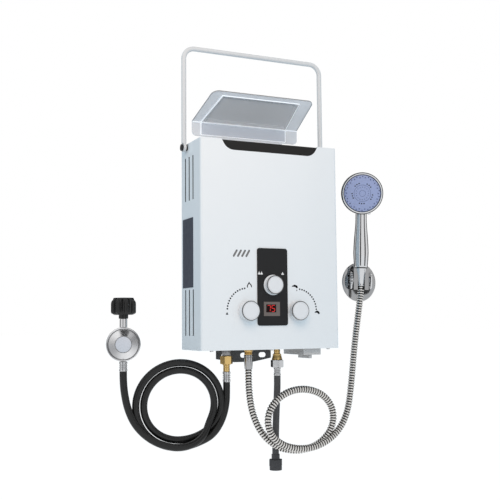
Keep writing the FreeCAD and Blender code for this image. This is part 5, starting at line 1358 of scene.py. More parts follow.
@dataclass
class RainCap:
    """Clear folded cap over the flue opening: glowing lines of painted highlight round its dish, a
    film of painted shade in the dish, one of painted light on the skirt.
    """

    fold: tuple[float, float, float] = (-7.0, -2.25, 82.75)
    slope: float = 23.0
    near_half: float = 117.0
    far_half: float = 108.0
    long: float = 102.0
    corner: float = 14.0
    near_left: tuple[float, float] = (98.5, 3.0)
    far_left: tuple[float, float] = (85.0, 90.5)
    far_right: tuple[float, float] = (-80.5, 90.5)
    near_right: tuple[float, float] = (-89.5, 3.0)
    film: float = 0.2
    skirt_face: float = -3.5
    skirt_foot: float = 55.0
    edge_high: float = 1.2
    edge_radius: float = 0.9
    line_sides: int = 10

    def build(self) -> None:
        """Makes the cap, the films of painted shade and painted light, and the lines of painted
        highlight.
        """
        shell("rain_cap_sheet", "rain_cap", Look.CAP, 0.4)
        roof = (Matrix.Translation(self.fold) @ Matrix.Rotation(math.pi, 4, "Z")
                @ Matrix.Rotation(math.radians(self.slope), 4, "X"))
        mouth = [self.near_left, self.far_left, self.far_right, self.near_right]
        # film of painted shade over the dish's inner panel
        Draft("rain_cap_panel").prism(mouth, -self.film, -0.05, roof).finish(
            Look.CAP_PANEL_SHADE, Body.HEATER)
        corners = [roof @ Vector((u, v, -self.film)) for u, v in mouth]
        left, right = self.fold[0] - self.near_left[0], self.fold[0] - self.near_right[0]
        top, foot, face = self.fold[2] + 0.2, self.skirt_foot + 3, self.skirt_face
        # film of painted light over the front of the skirt
        front = Draft("rain_cap_front").prism(
            [(left, foot), (right, foot), (right, top), (left, top)], 0.1, 0.1 + self.film,
            seat((0, face, 0), Facing.FRONT))
        front.finish(Look.CAP_SKIRT_LIT, Body.HEATER)
        half, brow = self.near_half - 0.6, face - 0.9
        # thin glowing tubes: painted highlight along the edges of the dish and the skirt
        bright = Draft("rain_cap_lines")
        for start, end, radius in (
                (corners[0], corners[1], 1.3), (corners[1], corners[2], 1.2),
                (corners[2], corners[3], 0.5), ((left, face, top), (left, face, foot), 1.1),
                ((right, face, top), (right, face, foot), 0.6),
                ((left, face, foot), (right, face, foot), 0.6),
                ((self.fold[0] - half, brow, top), (self.fold[0] + half, brow, top), 1.0)):
            bright.tube([start, end], radius, self.line_sides)
        bright.finish(Look.CAP_HIGHLIGHT, Body.HEATER, (), 50)
        line = [roof @ Vector((u, v, self.edge_high)) for u, v in self.outline()]
        edge = Draft("rain_cap_edge").tube(line, self.edge_radius, self.line_sides)
        edge.finish(Look.CAP_EDGE, Body.HEATER, (), 50)
        log.info("rain cap built")

    def outline(self) -> Outline:
        """Border of the roof, from one end of the fold round to the other.

        Returns:
            The (across, along) points on the roof.
        """
        across, along = self.far_half - self.corner + 0.7, self.long - self.corner - 0.4
        made = [(self.near_half - 0.5, 1.0)]
        for start, side in ((0, 1), (90, -1)):
            made += [(side * across + u, along + v) for u, v in bow(self.corner, start, 90, 8)]
        return [*made, (-self.near_half + 0.5, 1.0)]


@dataclass
class CarryHandle:
    """White round bail with flat ears, and its two black shoulder screws."""

    def build(self) -> None:
        """Makes the bail and the screws."""
        shell("handle_bail", "carry_handle", Look.BAIL_SHADED, 0.25, Body.HANDLE, sharper=50)
        shell("handle_pivots", "handle_screws", Look.SCREW_BLACK, 0.4, sharper=50)
        log.info("carry handle built")


# ---------------------------------------------------------------- controls


class Icon(Enum):
    """Plain pictograms as outlines in a box from -1 to 1."""

    SPARK = ((-1.0, -0.9), (0.0, -1.0), (1.0, -0.9), (0.8, -0.35), (0.35, 0.2), (0.05, 1.0),
             (-0.3, 0.3), (-0.75, -0.3))
    ARCH = ((-1.0, -0.95), (-0.95, -0.2), (-0.5, 0.3), (-0.1, 1.0), (0.15, 0.45), (0.6, 0.15),
            (0.95, -0.3), (1.0, -0.95), (0.62, -0.7), (0.55, -0.3), (0.15, 0.02), (-0.1, 0.25),
            (-0.35, -0.05), (-0.62, -0.4), (-0.6, -0.95))
    TAP = ((-1.0, 0.0), (-0.75, 0.5), (-0.35, 0.75), (-0.22, 0.95), (0.15, 0.95), (0.25, 0.75),
           (0.68, 0.6), (0.95, 0.15), (1.0, -0.75), (0.4, -0.75), (0.3, -0.3), (0.05, -0.2),
           (-0.3, -0.1), (-0.6, -0.05), (-0.8, -0.2))
    DROP = ((0.0, -1.0), (0.6, -0.7), (0.7, -0.2), (0.0, 1.0), (-0.7, -0.2), (-0.6, -0.7))


@dataclass
class Knob:
    """Turned white knob with a chrome rim darkened as painted reflection, and a raised face."""

    body: Body
    node: str
    at: tuple[float, float, float]
    base: float = 19.0
    base_high: float = 2.4
    grip: float = 18.4
    high: float = 16.2
    steps: int = 96

    def build(self) -> None:
        """Makes the knob and its chrome ring, darkened as painted reflection."""
        g, h, b = self.grip, self.high, self.base_high
        profile = [(0, 0), (self.base - 0.3, 0), (self.base, 0.3), (self.base, b - 0.5),
                   (self.base - 0.5, b), (g - 0.7, b + 0.2), (g - 0.8, b + 0.6), (g - 0.1, b + 1.0),
                   (g, b + 1.4), (g, h - 1.5), (g - 0.3, h - 0.7), (g - 1.0, h - 0.25),
                   (g - 1.9, h - 0.15), (g - 2.7, h - 0.3), (g - 3.0, h - 0.75),
                   (g - 3.4, h - 0.75), (g - 3.6, h - 0.2), (g - 4.2, h), (g - 5.0, h), (0, h)]
        place = seat(self.at, Facing.FRONT)
        turned(self.node + "_grip", profile, place, Look.KNOB, (self.node,), self.body, 35,
               self.steps)
        ring = [(g - 0.8, h - 1.9), (g + 0.1, h - 2.1), (g + 0.25, h - 1.4), (g - 0.1, h - 0.55),
                (g - 0.8, h - 0.12), (g - 1.5, h - 0.08), (g - 1.6, h - 0.4)]
        turned(self.node + "_rim", ring, place, Look.RIM, (), self.body, 50, self.steps)


@dataclass
class Controls:
    """Black panel with its display, the printed marks, and the three knobs."""

    face: float = -104.0
    panel_face: float = -105.5
    glass_face: float = -104.72
    print_high: float = 0.08
    digit_size: tuple[float, float] = (6.4, 11.8)
    digit_middle: float = -289.5
    digit_lean: float = 0.08
    digits: tuple = (("digit_tens", -8.3, "abc"), ("digit_ones", 1.2, "acdfg"))
    bar: float = 1.0
    bar_gap: float = 0.5
    white_marks: tuple = (
        ("flame_pair", Icon.SPARK, ((-28.2, -222.3), (-23.2, -222.3)), (2.7, 3.2)),
        ("flame_single", Icon.SPARK, ((21.4, -222.5),), (2.9, 2.9)))
    black_marks: tuple = (
        ("flame_large", Icon.ARCH, ((-48, -244.6),), (5.2, 6.0)),
        ("flame_small", Icon.SPARK, ((-94, -298.5),), (2.5, 2.6)),
        ("tap_upper", Icon.TAP, ((48.2, -247.5),), (6.4, 3.8)),
        ("tap_lower", Icon.TAP, ((96.4, -297.5),), (5.6, 4.0)),
        ("tap_drop", Icon.DROP, ((52.4, -254.5),), (1.2, 1.8)))
    arcs: tuple = (("arc_left", (-52.0, -293.0), 41.5, 98.0),
                   ("arc_right", (52.8, -294.0), 42.0, 4.0))
    arc_sweep: float = 78.0
    arc_dots: int = 12
    dot: float = 1.65

    def build(self) -> None:
        """Makes all of the controls."""
        shell("control_plate", "control_panel", Look.PANEL, 0.35, segments=3)
        shell("display_frame", "display_bezel", Look.BEZEL, 0.3)
        keep(Look.WINDOW, "display_module")
        for name, across, lit in self.digits:
            self.digit(name, across, lit)
        Knob(Body.GAS_KNOB, "gas_knob", (-52, -104.4, -294)).build()
        Knob(Body.WATER_KNOB, "water_knob", (52, -104.4, -294)).build()
        Knob(Body.SEASON_KNOB, "season_knob", (0, -105.9, -245), base=19.3, grip=17.4,
             high=12.5).build()
        for marks, level, look in ((self.white_marks, self.panel_face, Look.PRINT_WHITE),
                                   (self.black_marks, self.face, Look.PRINT)):
            for name, icon, spots, half in marks:
                self.mark(name, icon, spots, half, level, look)
        for name, middle, radius, start in self.arcs:
            self.arc(name, middle, radius, start)
        log.info("controls built")

    def digit(self, name: str, across: float, lit: str) -> None:
        """Seven-segment digit; the segments in lit glow and the others are dim.

        Args:
            name: name of the lit piece.
            across: X of the digit's middle.
            lit: letters of the lit segments, a to g.
        """
        wide, high = self.digit_size
        place = seat((across, self.glass_face, self.digit_middle), Facing.FRONT)
        spots = {"a": (0, high / 2, 0), "d": (0, -high / 2, 0), "g": (0, 0, 0),
                 "f": (-wide / 2, high / 4, 1), "b": (wide / 2, high / 4, 1),
                 "e": (-wide / 2, -high / 4, 1), "c": (wide / 2, -high / 4, 1)}
        for state, look in ((True, Look.DIGIT), (False, Look.DIGIT_OFF)):
            draft = Draft(name if state else name + "_dim")
            for letter, (u, v, upright) in spots.items():
                if (letter in lit) != state:
                    continue
                long = (high / 2 if upright else wide) - self.bar_gap
                half, thin = long / 2, self.bar / 2
                outline = [(-half, 0), (-half + thin, thin), (half - thin, thin), (half, 0),
                           (half - thin, -thin), (-half + thin, -thin)]
                if upright:
                    outline = [(-b, a) for a, b in outline]
                outline = [(u + a + self.digit_lean * (v + b), v + b) for a, b in outline]
                draft.prism(outline, 0, self.print_high, place)
            draft.finish(look, Body.HEATER)

    def mark(self, name: str, icon: Icon, spots: Outline, half: tuple[float, float],
             level: float, look: Look) -> None:
        """Printed pictogram, one outline for each spot.

        Args:
            name: name of the piece.
            icon: which outline.
            spots: (x, z) of the middles.
            half: half width and half height.
            level: Y of the surface it is printed on.
            look: the finish.
        """
        draft = Draft(name)
        outline = [(u * half[0], v * half[1]) for u, v in icon.value]
        for across, high in spots:
            draft.prism(outline, 0.0, self.print_high, seat((across, level, high), Facing.FRONT))
        draft.finish(look, Body.HEATER)

    def arc(self, name: str, middle: tuple[float, float], radius: float, start: float) -> None:
        """Row of printed dots on part of a circle.

        Args:
            name: name of the piece.
            middle: (x, z) of the circle.
            radius: radius of the circle.
            start: first angle in degrees from +X.
        """
        host = host_points(name + "_host", [(0, 0, 0)])
        pattern = Pattern(name + "_pattern", Radius=radius * MM, Start=math.radians(start),
                          Sweep=math.radians(self.arc_sweep), Dots=self.arc_dots,
                          DotRadius=self.dot * MM, Depth=self.print_high * MM)
        sizes = pattern.sizes
        line = pattern.add("CurveArc", {"Resolution": 64, "Radius": sizes["Radius"],
                                        "Start Angle": sizes["Start"],
                                        "Sweep Angle": sizes["Sweep"]})
        dots = pattern.add("CurveToPoints", {"Curve": line.outputs[0], "Count": sizes["Dots"]},
                           mode="COUNT")
        disc = pattern.add("MeshCylinder", {"Vertices": 12, "Radius": sizes["DotRadius"],
                                            "Depth": sizes["Depth"]})
        row = pattern.add("InstanceOnPoints", {"Points": dots.outputs[0],
                                               "Instance": disc.outputs[0]})
        put = pattern.add("Transform", {
            "Geometry": row.outputs[0], "Rotation": (math.pi / 2, 0, 0),
            "Translation": (middle[0] * MM, (self.face - self.print_high / 2) * MM,
                            middle[1] * MM)})
        dress(pattern.bake(host, put.outputs[0], Look.PRINT, name), Look.PRINT, Body.HEATER)


@dataclass
class BatteryBox:
    """Grey box under the casing with a lid that swings down."""

    def build(self) -> None:
        """Makes the box and the lid."""
        shell("cell_box", "battery_box", Look.GREY, 0.4)
        shell("cell_lid", "battery_lid", Look.GREY, 0.35, Body.LID)
        log.info("battery box built")


# ---------------------------------------------------------------- pipes and fittings


def add_nut(draft: Draft, at: Matrix, flats: float, low: float, high: float) -> None:
    """Adds a hexagon nut with chamfered corners to a draft.

    Args:
        draft: the draft that takes the nut.
        at: matrix that seats its axis.
        flats: width over the flats.
        low: height of the foot.
        high: height of the top.
    """
    draft.weighted = True
    half, corner = flats / 2, flats / math.sqrt(3)
    rings = []
    for level, limit in ((low, half * 0.99), (low + NUT_CHAMFER, corner),
                         (high - NUT_CHAMFER, corner), (high, half * 0.99)):
        ring = []
        for k in range(NUT_STEPS):
            turn = 2 * math.pi * k / NUT_STEPS
            inside = (turn + math.pi / 6) % (math.pi / 3) - math.pi / 6
            reach = min(half / math.cos(inside), limit)
            ring.append(at @ Vector((*polar(reach, turn), level)))
        rings.append(ring)
    draft.loft(rings)


def thread_profile(radius: float, low: float, high: float, pitch: float,
                   depth: float) -> list[tuple[float, float]]:
    """Outside of a thread as rings, from foot to top.

    Args:
        radius: radius over the crests.
        low: height of the foot.
        high: height of the top.
        pitch: height of one turn.
        depth: depth of the grooves.

    Returns:
        The (radius, height) pairs.
    """
    made = []
    level = low
    while level + pitch <= high:
        made += [(radius - depth, level), (radius, level + pitch * 0.35),
                 (radius, level + pitch * 0.6)]
        level += pitch
    return made + [(radius - depth, high)]


@dataclass
class Fittings:
    """Brass and steel fittings under the casing, and the ferrules on the hoses."""

    gas_side: float = -73.0
    regulator_side: float = REGULATOR[0]
    hot_side: float = -27.0
    cold_side: float = 35.0
    deep: float = -50.0
    gas_nut_turn: float = 22.0
    cold_nut_turn: float = -6.0
    waists: tuple[float, float, float] = (0.3, 0.5, 0.7)

    def build(self) -> tuple[list[bpy.types.Object], list[bpy.types.Object]]:
        """Makes the fittings.

        Returns:
            The pieces on the gas hose, and those on the inlet hose.
        """
        gas = self.gas()
        self.hot()
        cold = self.cold()
        log.info("fittings built")
        return gas, cold

    def axis(self, side: float, turn: float = 0.0) -> Matrix:
        """Seat of an upright axis, turned about itself by degrees."""
        return seat((side, self.deep, 0)) @ Matrix.Rotation(math.radians(turn), 4, "Z")

    def gas(self) -> list[bpy.types.Object]:
        """Grey inlet pipe, brass nut and stem, and the two crimped ferrules.

        Returns:
            The pieces on the gas hose.
        """
        place = self.axis(self.gas_side)
        turned("gas_pipe", [
            (0, -327), (8.2, -327), (8.2, -366), (8.5, -366.6), (8.5, -378.2), (8.1, -378.9),
            (0, -378.9)], place, Look.PIPE, ("gas_inlet_pipe",), smooth=30)
        nut = Draft("gas_nut")
        add_nut(nut, self.axis(self.gas_side, self.gas_nut_turn), 21.5, -394.6, -379.1)
        nut.lathe([(0, -394.3), (7.4, -394.3), (7.4, -396.2), (6.3, -397.0), (6.25, -400.0),
                   (5.9, -400.4), (5.9, -401.2), (6.25, -401.6), (6.25, -408.5), (0, -408.5)],
                  place, 48)
        made = [nut.finish(Look.BRASS, Body.HEATER, ("gas_hose_nut",), 30)]
        draft = Draft("gas_ferrules")
        for side, top, foot in ((self.gas_side, -408.7, -428.5),
                                (self.regulator_side, -384.7, -401.9)):
            draft.lathe(self.ferrule(7.3, top, foot), self.axis(side), 48)
        made.append(draft.finish(Look.CRIMP, Body.HEATER, ("gas_hose_ferrules",), 30))
        return made

    def ferrule(self, radius: float, top: float, foot: float) -> list[tuple[float, float]]:
        """Profile of a crimped sleeve with pressed waists.

        Args:
            radius: radius of the sleeve.
            top: height of its top.
            foot: height of its foot.

        Returns:
            The (radius, height) pairs.
        """
        made = [(0, top), (radius - 0.7, top), (radius, top - 0.8)]
        span = top - foot
        for share in self.waists:
            level = top - span * share
            made += [(radius, level + 1.5), (radius - 0.75, level + 0.7),
                     (radius - 0.75, level - 0.7), (radius, level - 1.5)]
        return made + [(radius, foot + 0.8), (radius - 0.5, foot), (0, foot)]

    def hot(self) -> None:
        """Brass outlet and the tapered nut of the shower hose."""
        place = self.axis(self.hot_side)
        thread = [(r, -z) for r, z in thread_profile(7.9, 372.4, 377.6, 1.2, 0.5)]
        turned("hot_stub", [
            (0, -351.2), (7.5, -351.2), (7.5, -366), (8.7, -366.4), (9.0, -367.2), (9.0, -369.6),
            (8.6, -370.2), (7.7, -370.6), (7.6, -372), *thread, (7.2, -378.1), (0, -378.1)],
            place, Look.BRASS, ("hot_outlet",), smooth=30)
        turned("shower_nut", [
            (0, -378.3), (8.0, -378.3), (8.6, -378.9), (8.6, -381.2), (8.2, -381.8),
            (8.2, -382.6), (8.6, -383.2), (8.45, -390), (8.0, -399), (7.7, -404.8),
            (7.2, -406.1), (0, -406.1)], place, Look.SLEEVE, ("shower_hose_nut",), smooth=30)

    def cold(self) -> list[bpy.types.Object]:
        """Brass inlet with its cone, the steel nut, the brass collar and the coupling.

        Returns:
            The pieces on the inlet hose.
        """
        place = self.axis(self.cold_side)
        turned("cold_stub", [
            (0, -317.2), (6, -317.2), (6, -370.4), (6.5, -371), (6.5, -372.4), (6, -373),
            (6, -376.6), (7.2, -377.4), (8.4, -378.4), (8.4, -379.4), (8.1, -380), (9.4, -384.6),
            (10.2, -387.6), (10.3, -388.3), (9.8, -388.9), (0, -388.9)],
            place, Look.BRASS, ("cold_inlet",), smooth=30)
        nut = Draft("cold_nut")
        add_nut(nut, self.axis(self.cold_side, self.cold_nut_turn), 22.0, -403.9, -389.2)
        return [nut.finish(Look.CRIMP, Body.HEATER, ("cold_hose_nut",), 30),
                turned("cold_ferrule", self.ferrule(6.8, -404.1, -419.9), place, Look.CRIMP,
                       ("cold_hose_crimp",), smooth=30, steps=48),
                shell("inlet_coupling", "hose_coupling", Look.DARK, 0.6, Body.COUPLING, 3, 40, 35)]


@dataclass
class Regulator:
    """Round die-cast regulator with its stem and the ribbed hand nut."""

    at: tuple[float, float, float] = REGULATOR
    turn: float = REGULATOR_TURN
    radius: float = 31.0
    screws: int = 6
    first_screw: float = 0.3
    screw_inset: float = 3.4
    screw_seat: float = -5.0
    ribs: int = 8
    rib_reach: float = 19.0
    rib_middle: float = -284.5

    def build(self) -> list[bpy.types.Object]:
        """Makes the regulator.

        Returns:
            The pieces.
        """
        r = self.radius
        lean = Matrix.Rotation(-math.radians(self.turn), 4, "Z")
        place = Matrix.Translation(self.at) @ lean @ Facing.FRONT.value
        cover = [(0, 0.3), (r - 0.3, 0.3), (r, 0.8), (r, 4.2), (r - 0.6, 5.4), (r - 1.6, 5.9),
                 (r - 2.6, 5.3), (r - 3.1, 4.6), (r - 3.6, 4.6), (r - 4.4, 5.3), (15.9, 12.4),
                 (15.4, 12.9), (15.1, 12.9), (14.8, 12.4), (0, 12.4)]
        bowl = [(0, -0.1), (r - 0.3, -0.1), (r, -0.5), (r, -4.2), (r - 0.8, -5.0), (r - 4.0, -7.8),
                (r - 9.0, -12.5), (r / 2 + 2, -19.5), (r / 2 - 1, -21.8), (0, -21.8)]
        badge = [(0, 12.3), (14.3, 12.3), (14.3, 12.55), (14.0, 12.7), (0, 12.75)]
        made = [
            turned("regulator_lid", cover, place, Look.SPUN_SHEEN, ("regulator_cover",), smooth=28,
                   steps=96),
            turned("regulator_bowl", bowl, place, Look.CAST, ("regulator_body",), smooth=28,
                   steps=96),
            turned("regulator_badge", badge, place, Look.BADGE, smooth=28)]
        # thin dark rings: painted shade in the lid's groove and round the badge, and the dark joint
        # of lid and bowl
        lines = Draft("regulator_lines")
        for radius, level in ((14.9, 12.5), (r - 3.3, 4.4), (r - 0.2, 0.2)):
            lines.lathe([(radius - 0.5, level), (radius + 0.3, level), (radius + 0.3, level + 0.55),
                         (radius - 0.5, level + 0.55)], place, 96)
        made.append(lines.finish(Look.RIM, Body.HEATER, (), 50))
        points = []
        for k in range(self.screws):
            angle = 2 * math.pi * k / self.screws + self.first_screw
            spot = Vector((*polar(r - self.screw_inset, angle), self.screw_seat))
            points.append(place @ spot)
        turns = [(lean @ Facing.BACK.value).to_euler()] * self.screws
        made.append(scatter("regulator_screws", screw(2.2, 1.5), points, turns, Look.SCREW,
                            Body.HEATER))
        made.append(shell("regulator_neck", "regulator_stem", Look.CHROME, 0.4, sharper=50,
                          smooth=35))
        made += self.hand_nut()
        log.info("regulator built")
        return made

    def hand_nut(self) -> list[bpy.types.Object]:
        """Black nut: a turned shell with its bore, and the ribs round it.

        Returns:
            The shell and the ribs.
        """
        side, deep = self.at[0], self.at[1]
        profile = [(5.6, -307), (7.9, -307), (8.5, -306.4), (8.5, -300.4), (9.4, -300),
                   (17.4, -300), (18.9, -298.8), (19.3, -297), (19.3, -273.4), (18.8, -271.0),
                   (18.0, -269.3), (17.6, -269.1), (17.0, -269.1), (16.6, -269.7), (16.6, -287),
                   (5.6, -287)]
        made = [turned("tank_nut_shell", profile, seat((side, deep, 0)), Look.NUT_BLACK,
                       ("tank_nut",), Body.TANK_NUT, 32, 96)]
        rib = Draft("rib").lathe([(0, -14.0), (2.6, -13.6), (4.0, -12.0), (4.4, -10), (4.4, 4.4),
                                  (3.9, 7.6), (2.4, 10.6), (0, 12.0)], Matrix.Identity(4), 28)
        points, turns = [], []
        for k in range(self.ribs):
            angle = 2 * math.pi * k / self.ribs
            across, ahead = polar(self.rib_reach, angle)
            points.append((side + across, deep + ahead, self.rib_middle))
            turns.append((0.0, 0.0, angle))
        made.append(scatter("tank_nut_ribs", rib, points, turns, Look.NUT_BLACK, Body.TANK_NUT))
        return made


# ---------------------------------------------------------------- shower set


TURN = math.radians(-25.0)
LEAN = math.radians(1.4)
DROOP = math.radians(98.0)


class Tilted(Enum):
    """Places of the shower set: its own frame, the handset's seam and the spray face."""

    BRACKET = (Matrix.Translation(WALL) @ Matrix.Rotation(TURN, 4, "Z")
               @ Matrix.Rotation(LEAN, 4, "Y"))
    SEAM = BRACKET @ Matrix.Translation((0.0, -ARM, SEAM_HIGH))
    FACE = (SEAM @ Matrix.Translation((0.0, -HEAD_FORWARD, HEAD_HIGH))
            @ Matrix.Rotation(DROOP, 4, "X"))


@dataclass
class Holder:
    """Wall disc with its fork, the cradle and the two ratchet discs."""

    disc_radius: float = 41.5
    lobes: int = 10
    lobe_deep: float = 1.3
    wheel_radius: float = 18.0
    wheel_thick: float = 3.4
    wheel_steps: int = 120
    wheel_gap: float = 0.3
    fork: tuple[float, float] = (15.9, 18.7)
    fork_radius: float = 9.0
    fork_backs: tuple = ((-1, -8.5), (1, 6.0))
    tilt_high: float = 2.0

    def build(self) -> None:
        """Makes the holder."""
        r = self.disc_radius
        dome = [(0, 0.05), (r - 0.5, 0.05), (r, 0.5), (r, 1.4), (r - 0.3, 1.9), (r - 1.2, 2.5),
                (r - 3.0, 3.4), (r - 6.0, 4.5), (r - 11.0, 5.6), (r - 18.0, 6.2), (0, 6.5)]
        turned("wall_disc", dome, seat(WALL, Facing.FRONT), Look.DISC, ("shower_bracket",),
               steps=128)
        tilt = Tilted.BRACKET.value
        sideways = tilt @ Matrix(((0, 0, 1, 0), (1, 0, 0, 0), (0, 1, 0, 0), (0, 0, 0, 1)))
        ears = Draft("wall_fork")
        for side, back in self.fork_backs:
            low, high = sorted((side * self.fork[0], side * self.fork[1]))
            outline = [(-ARM + u, self.tilt_high + v)
                       for u, v in bow(self.fork_radius, 90, 180, 16)]
            outline += [(back, self.tilt_high - self.fork_radius),
                        (back, self.tilt_high + self.fork_radius)]
            ears.prism(outline, low, high, sideways)
        ears.rounded(0.5, 2, 40).finish(Look.DISC, Body.HEATER, (), 40)
        shell("nut_cradle", "cradle", Look.DISC, 0.7, Body.CRADLE, 3, 40)
        self.wheels(tilt)
        log.info("shower holder built")

    def wheels(self, tilt: Matrix) -> None:
        """Ratchet discs outside the fork, with lobed rims and a sunk ring round each hub.

        Args:
            tilt: matrix of the tilting set.
        """
        half, r = self.wheel_thick / 2, self.wheel_radius
        discs, hubs = Draft("ratchet_wheels"), Draft("ratchet_hubs")
        rim = []
        for k in range(self.wheel_steps):
            turn = 2 * math.pi * k / self.wheel_steps
            sunk = 1 - abs(math.cos(self.lobes * turn / 2)) ** 0.7
            rim.append(polar(r - self.lobe_deep * sunk, turn))
        boss = [(0, half - 0.7), (r * 0.72, half - 0.7), (r * 0.72, half - 0.2), (r * 0.66, half),
                (r * 0.3, half), (r * 0.27, half - 0.4), (0, half - 0.4)]
        for side, facing in ((-1, Facing.LEFT), (1, Facing.RIGHT)):
            middle = side * (self.fork[1] + self.wheel_gap + half)
            hub = tilt @ seat((middle, -ARM, self.tilt_high), facing)
            discs.prism(rim, -half, half - 0.6, hub)
            hubs.lathe(boss, hub, 64)
        discs.rounded(0.45, 2, 40).finish(Look.PLATED, Body.CRADLE, ("ratchet_discs",), 40)
        hubs.finish(Look.PLATED, Body.CRADLE, (), 35)


@dataclass
class Handset:
    """Chrome handset, its cone nut, the selector ring and the blue spray plate."""

    neck: tuple = ((0, 13.6), (1.2, 14.0), (15, 15.2), (30, 15.9), (45, 15.5), (58, 14.7),
                   (72, 13.6), (86, 12.4), (100, 11.75), (111, 11.7))
    neck_end: float = 22.0
    neck_forward: float = 3.0
    neck_ease: float = 0.4
    head_radius: float = 43.0
    head_from: float = 112.3
    head_top: float = 198.6
    top_span: float = 12.0
    top_steps: int = 12
    head_middle: float = -6.0
    head_front: float = 6.0
    head_back: float = 24.0
    head_power: float = 2.1
    tilt_share: float = 0.1405
    join_power: float = 7.0
    far: float = 60.0
    halvings: int = 22
    ring_radius: float = 44.0
    tab_turn: float = 20.0
    plate_radius: float = 39.0
    plate_thick: float = 4.0
    plate_crown: float = 1.6
    crown_steps: int = 12
    line_rows: tuple[float, float] = (6.4, 17.4)
    nozzles: int = 36
    nozzle_row: float = 33.2
    nozzle_zigzag: float = 2.4
    pins: int = 16
    pin_row: float = 13.0
    hole_groups: int = 5
    hole_row: float = 21.6
    first_hole: float = 51.0
    hole_step: float = 13.0
    steps: int = 96

    def build(self) -> None:
        """Makes the handset."""
        self.grip()
        self.nut()
        self.ring()
        self.plate()
        log.info("handset built")

    def neck_at(self, high: float) -> tuple[float, float]:
        """Radius and forward offset of the handle at a height, in millimetres.

        Args:
            high: the height.

        Returns:
            The radius and the offset.
        """
        top, last = self.neck[-1]
        if high >= top:
            share = min((high - top) / self.neck_end, 1.0)
            return last * math.sqrt(max(0.0, 1.0 - share * share)), self.neck_forward * share
        (z0, r0), (z1, r1) = next((a, b) for a, b in zip(self.neck, self.neck[1:]) if high <= b[0])
        share = (high - z0) / (z1 - z0)
        eased = share * share * (3 - 2 * share)
        return r0 + (r1 - r0) * (eased * self.neck_ease + share * (1 - self.neck_ease)), 0.0

    def in_head(self, spot: Vector, face: Matrix) -> bool:
        """Whether a point is inside the round head's shell.

        Args:
            spot: the point.
            face: inverse matrix of the spray face.

        Returns:
            Whether it is inside.
        """
        local = face @ spot
        deep = -local.z
        if not self.head_front <= deep <= self.head_back:
            return False
        share = max(0.0, (deep - self.head_front - 1.0) / (self.head_back - self.head_front - 1.0))
        limit = self.head_radius * (1 - share ** self.head_power) ** (1 / self.head_power)
        return math.hypot(local.x, local.y) <= limit

    def levels(self) -> list[float]:
        """Heights of the sections, close together where the head begins and at its top.

        Returns:
            The heights in order.
        """
        made = [0.0, 0.5, 1.2, *range(4, 17, 4), 21, 26, 31, *range(36, 91, 6), 95, 99, 102,
                105, 107]
        made += [108.5 + 1.0 * k for k in range(26)]
        made += [136 + 3.0 * k for k in range(17)]
        for k in range(1, self.top_steps + 1):
            eased = 1 - math.sin(math.pi / 2 * k / self.top_steps)
            made.append(self.head_top - self.top_span * eased)
        return sorted(set(made))

    def grip(self) -> None:
        """Handle and head as one smooth skin over level sections."""
        seam, face = Tilted.SEAM.value, Tilted.FACE.value.inverted()
        rings = [[seam @ p for p in self.section(high, seam, face)] for high in self.levels()]
        Draft("handset_shell").loft(rings).finish(
            Look.PLATED, Body.HANDSET, ("handset_body",), 50)
        band = [(0, -1.7), (13.2, -1.7), (13.75, -1.2), (13.75, -0.1), (13.4, 0.3), (0, 0.3)]
        turned("handset_seam", band, seam, Look.RUBBER, body=Body.HANDSET)

    def section(self, high: float, seam: Matrix, face: Matrix) -> list[Vector]:
        """Outline of the handle and head at one height, about a centre inside both.

        Args:
            high: the height.
            seam: matrix of the handset's seam.
            face: inverse matrix of the spray face.

        Returns:
            The outline's points, in the seam's frame.
        """
        above = high > self.head_from
        middle = self.head_middle - self.tilt_share * (high - HEAD_HIGH) if above else 0.0
        radius, offset = self.neck_at(high)
        centre = Vector((0, middle, high))
        head_here = above and self.in_head(seam @ centre, face)
        gap = offset - middle
        made = []
        for k in range(self.steps):
            ahead = Vector((*polar(1.0, 2 * math.pi * k / self.steps), 0))
            neck = head = 0.0
            side = ahead.y * gap
            under = radius * radius - (gap * gap - side * side)
            if under > 0 and radius > abs(gap):
                neck = side + math.sqrt(under)
            if head_here:
                far = self.far
                for _ in range(self.halvings):
                    half = (head + far) / 2
                    if self.in_head(seam @ (centre + ahead * half), face):
                        head = half
                    else:
                        far = half
            reach = (max(neck, 0.01) ** self.join_power
                     + max(head, 0.01) ** self.join_power) ** (1 / self.join_power)
            made.append(centre + ahead * reach)
        return made

    def nut(self) -> None:
        """Cone nut that sits in the cradle, with the hose's hole in its foot."""
        cone = [(0, -1.8), (13.0, -1.8), (13.5, -2.3), (13.1, -5), (11.6, -16), (10.2, -27),
                (9.1, -34), (8.8, -36.2), (9.1, -37.0), (9.1, -38.2), (8.7, -38.9), (7.65, -38.9),
                (7.65, -13.2), (0, -13.2)]
        turned("cone_nut", cone, Tilted.SEAM.value, Look.PLATED, ("handset_nut",), Body.HANDSET,
               steps=72)

    def ring(self) -> None:
        """Selector ring with its thumb tab, and a near-black skin of painted reflection on its
        outer rounding.
        """
        r, inner = self.ring_radius, self.plate_radius + 0.35
        face = Tilted.FACE.value
        rim = [(inner, 0.4), (inner, 4.2), (inner + 0.4, 4.7), (r - 2.6, 4.9), (r - 1.2, 4.3),
               (r - 0.35, 3.0), (r, 1.2), (r, -2.0), (r - 0.2, -4.2), (r - 0.8, -5.4),
               (r - 1.6, -5.7), (r - 4.2, -5.7), (r - 4.2, 0.4)]
        draft = Draft("spray_ring").lathe(rim, face, 128)
        tab = rounded_outline((-3.2, -r - 3.0), (3.2, -r + 2.0), (1.5, 1.5, 0.5, 0.5))
        turn = Matrix.Rotation(math.radians(self.tab_turn), 4, "Z")
        draft.prism(tab, 0.6, 2.9, face @ turn)
        draft.finish(Look.PLATED, Body.SELECTOR, ("selector_ring",), 40)
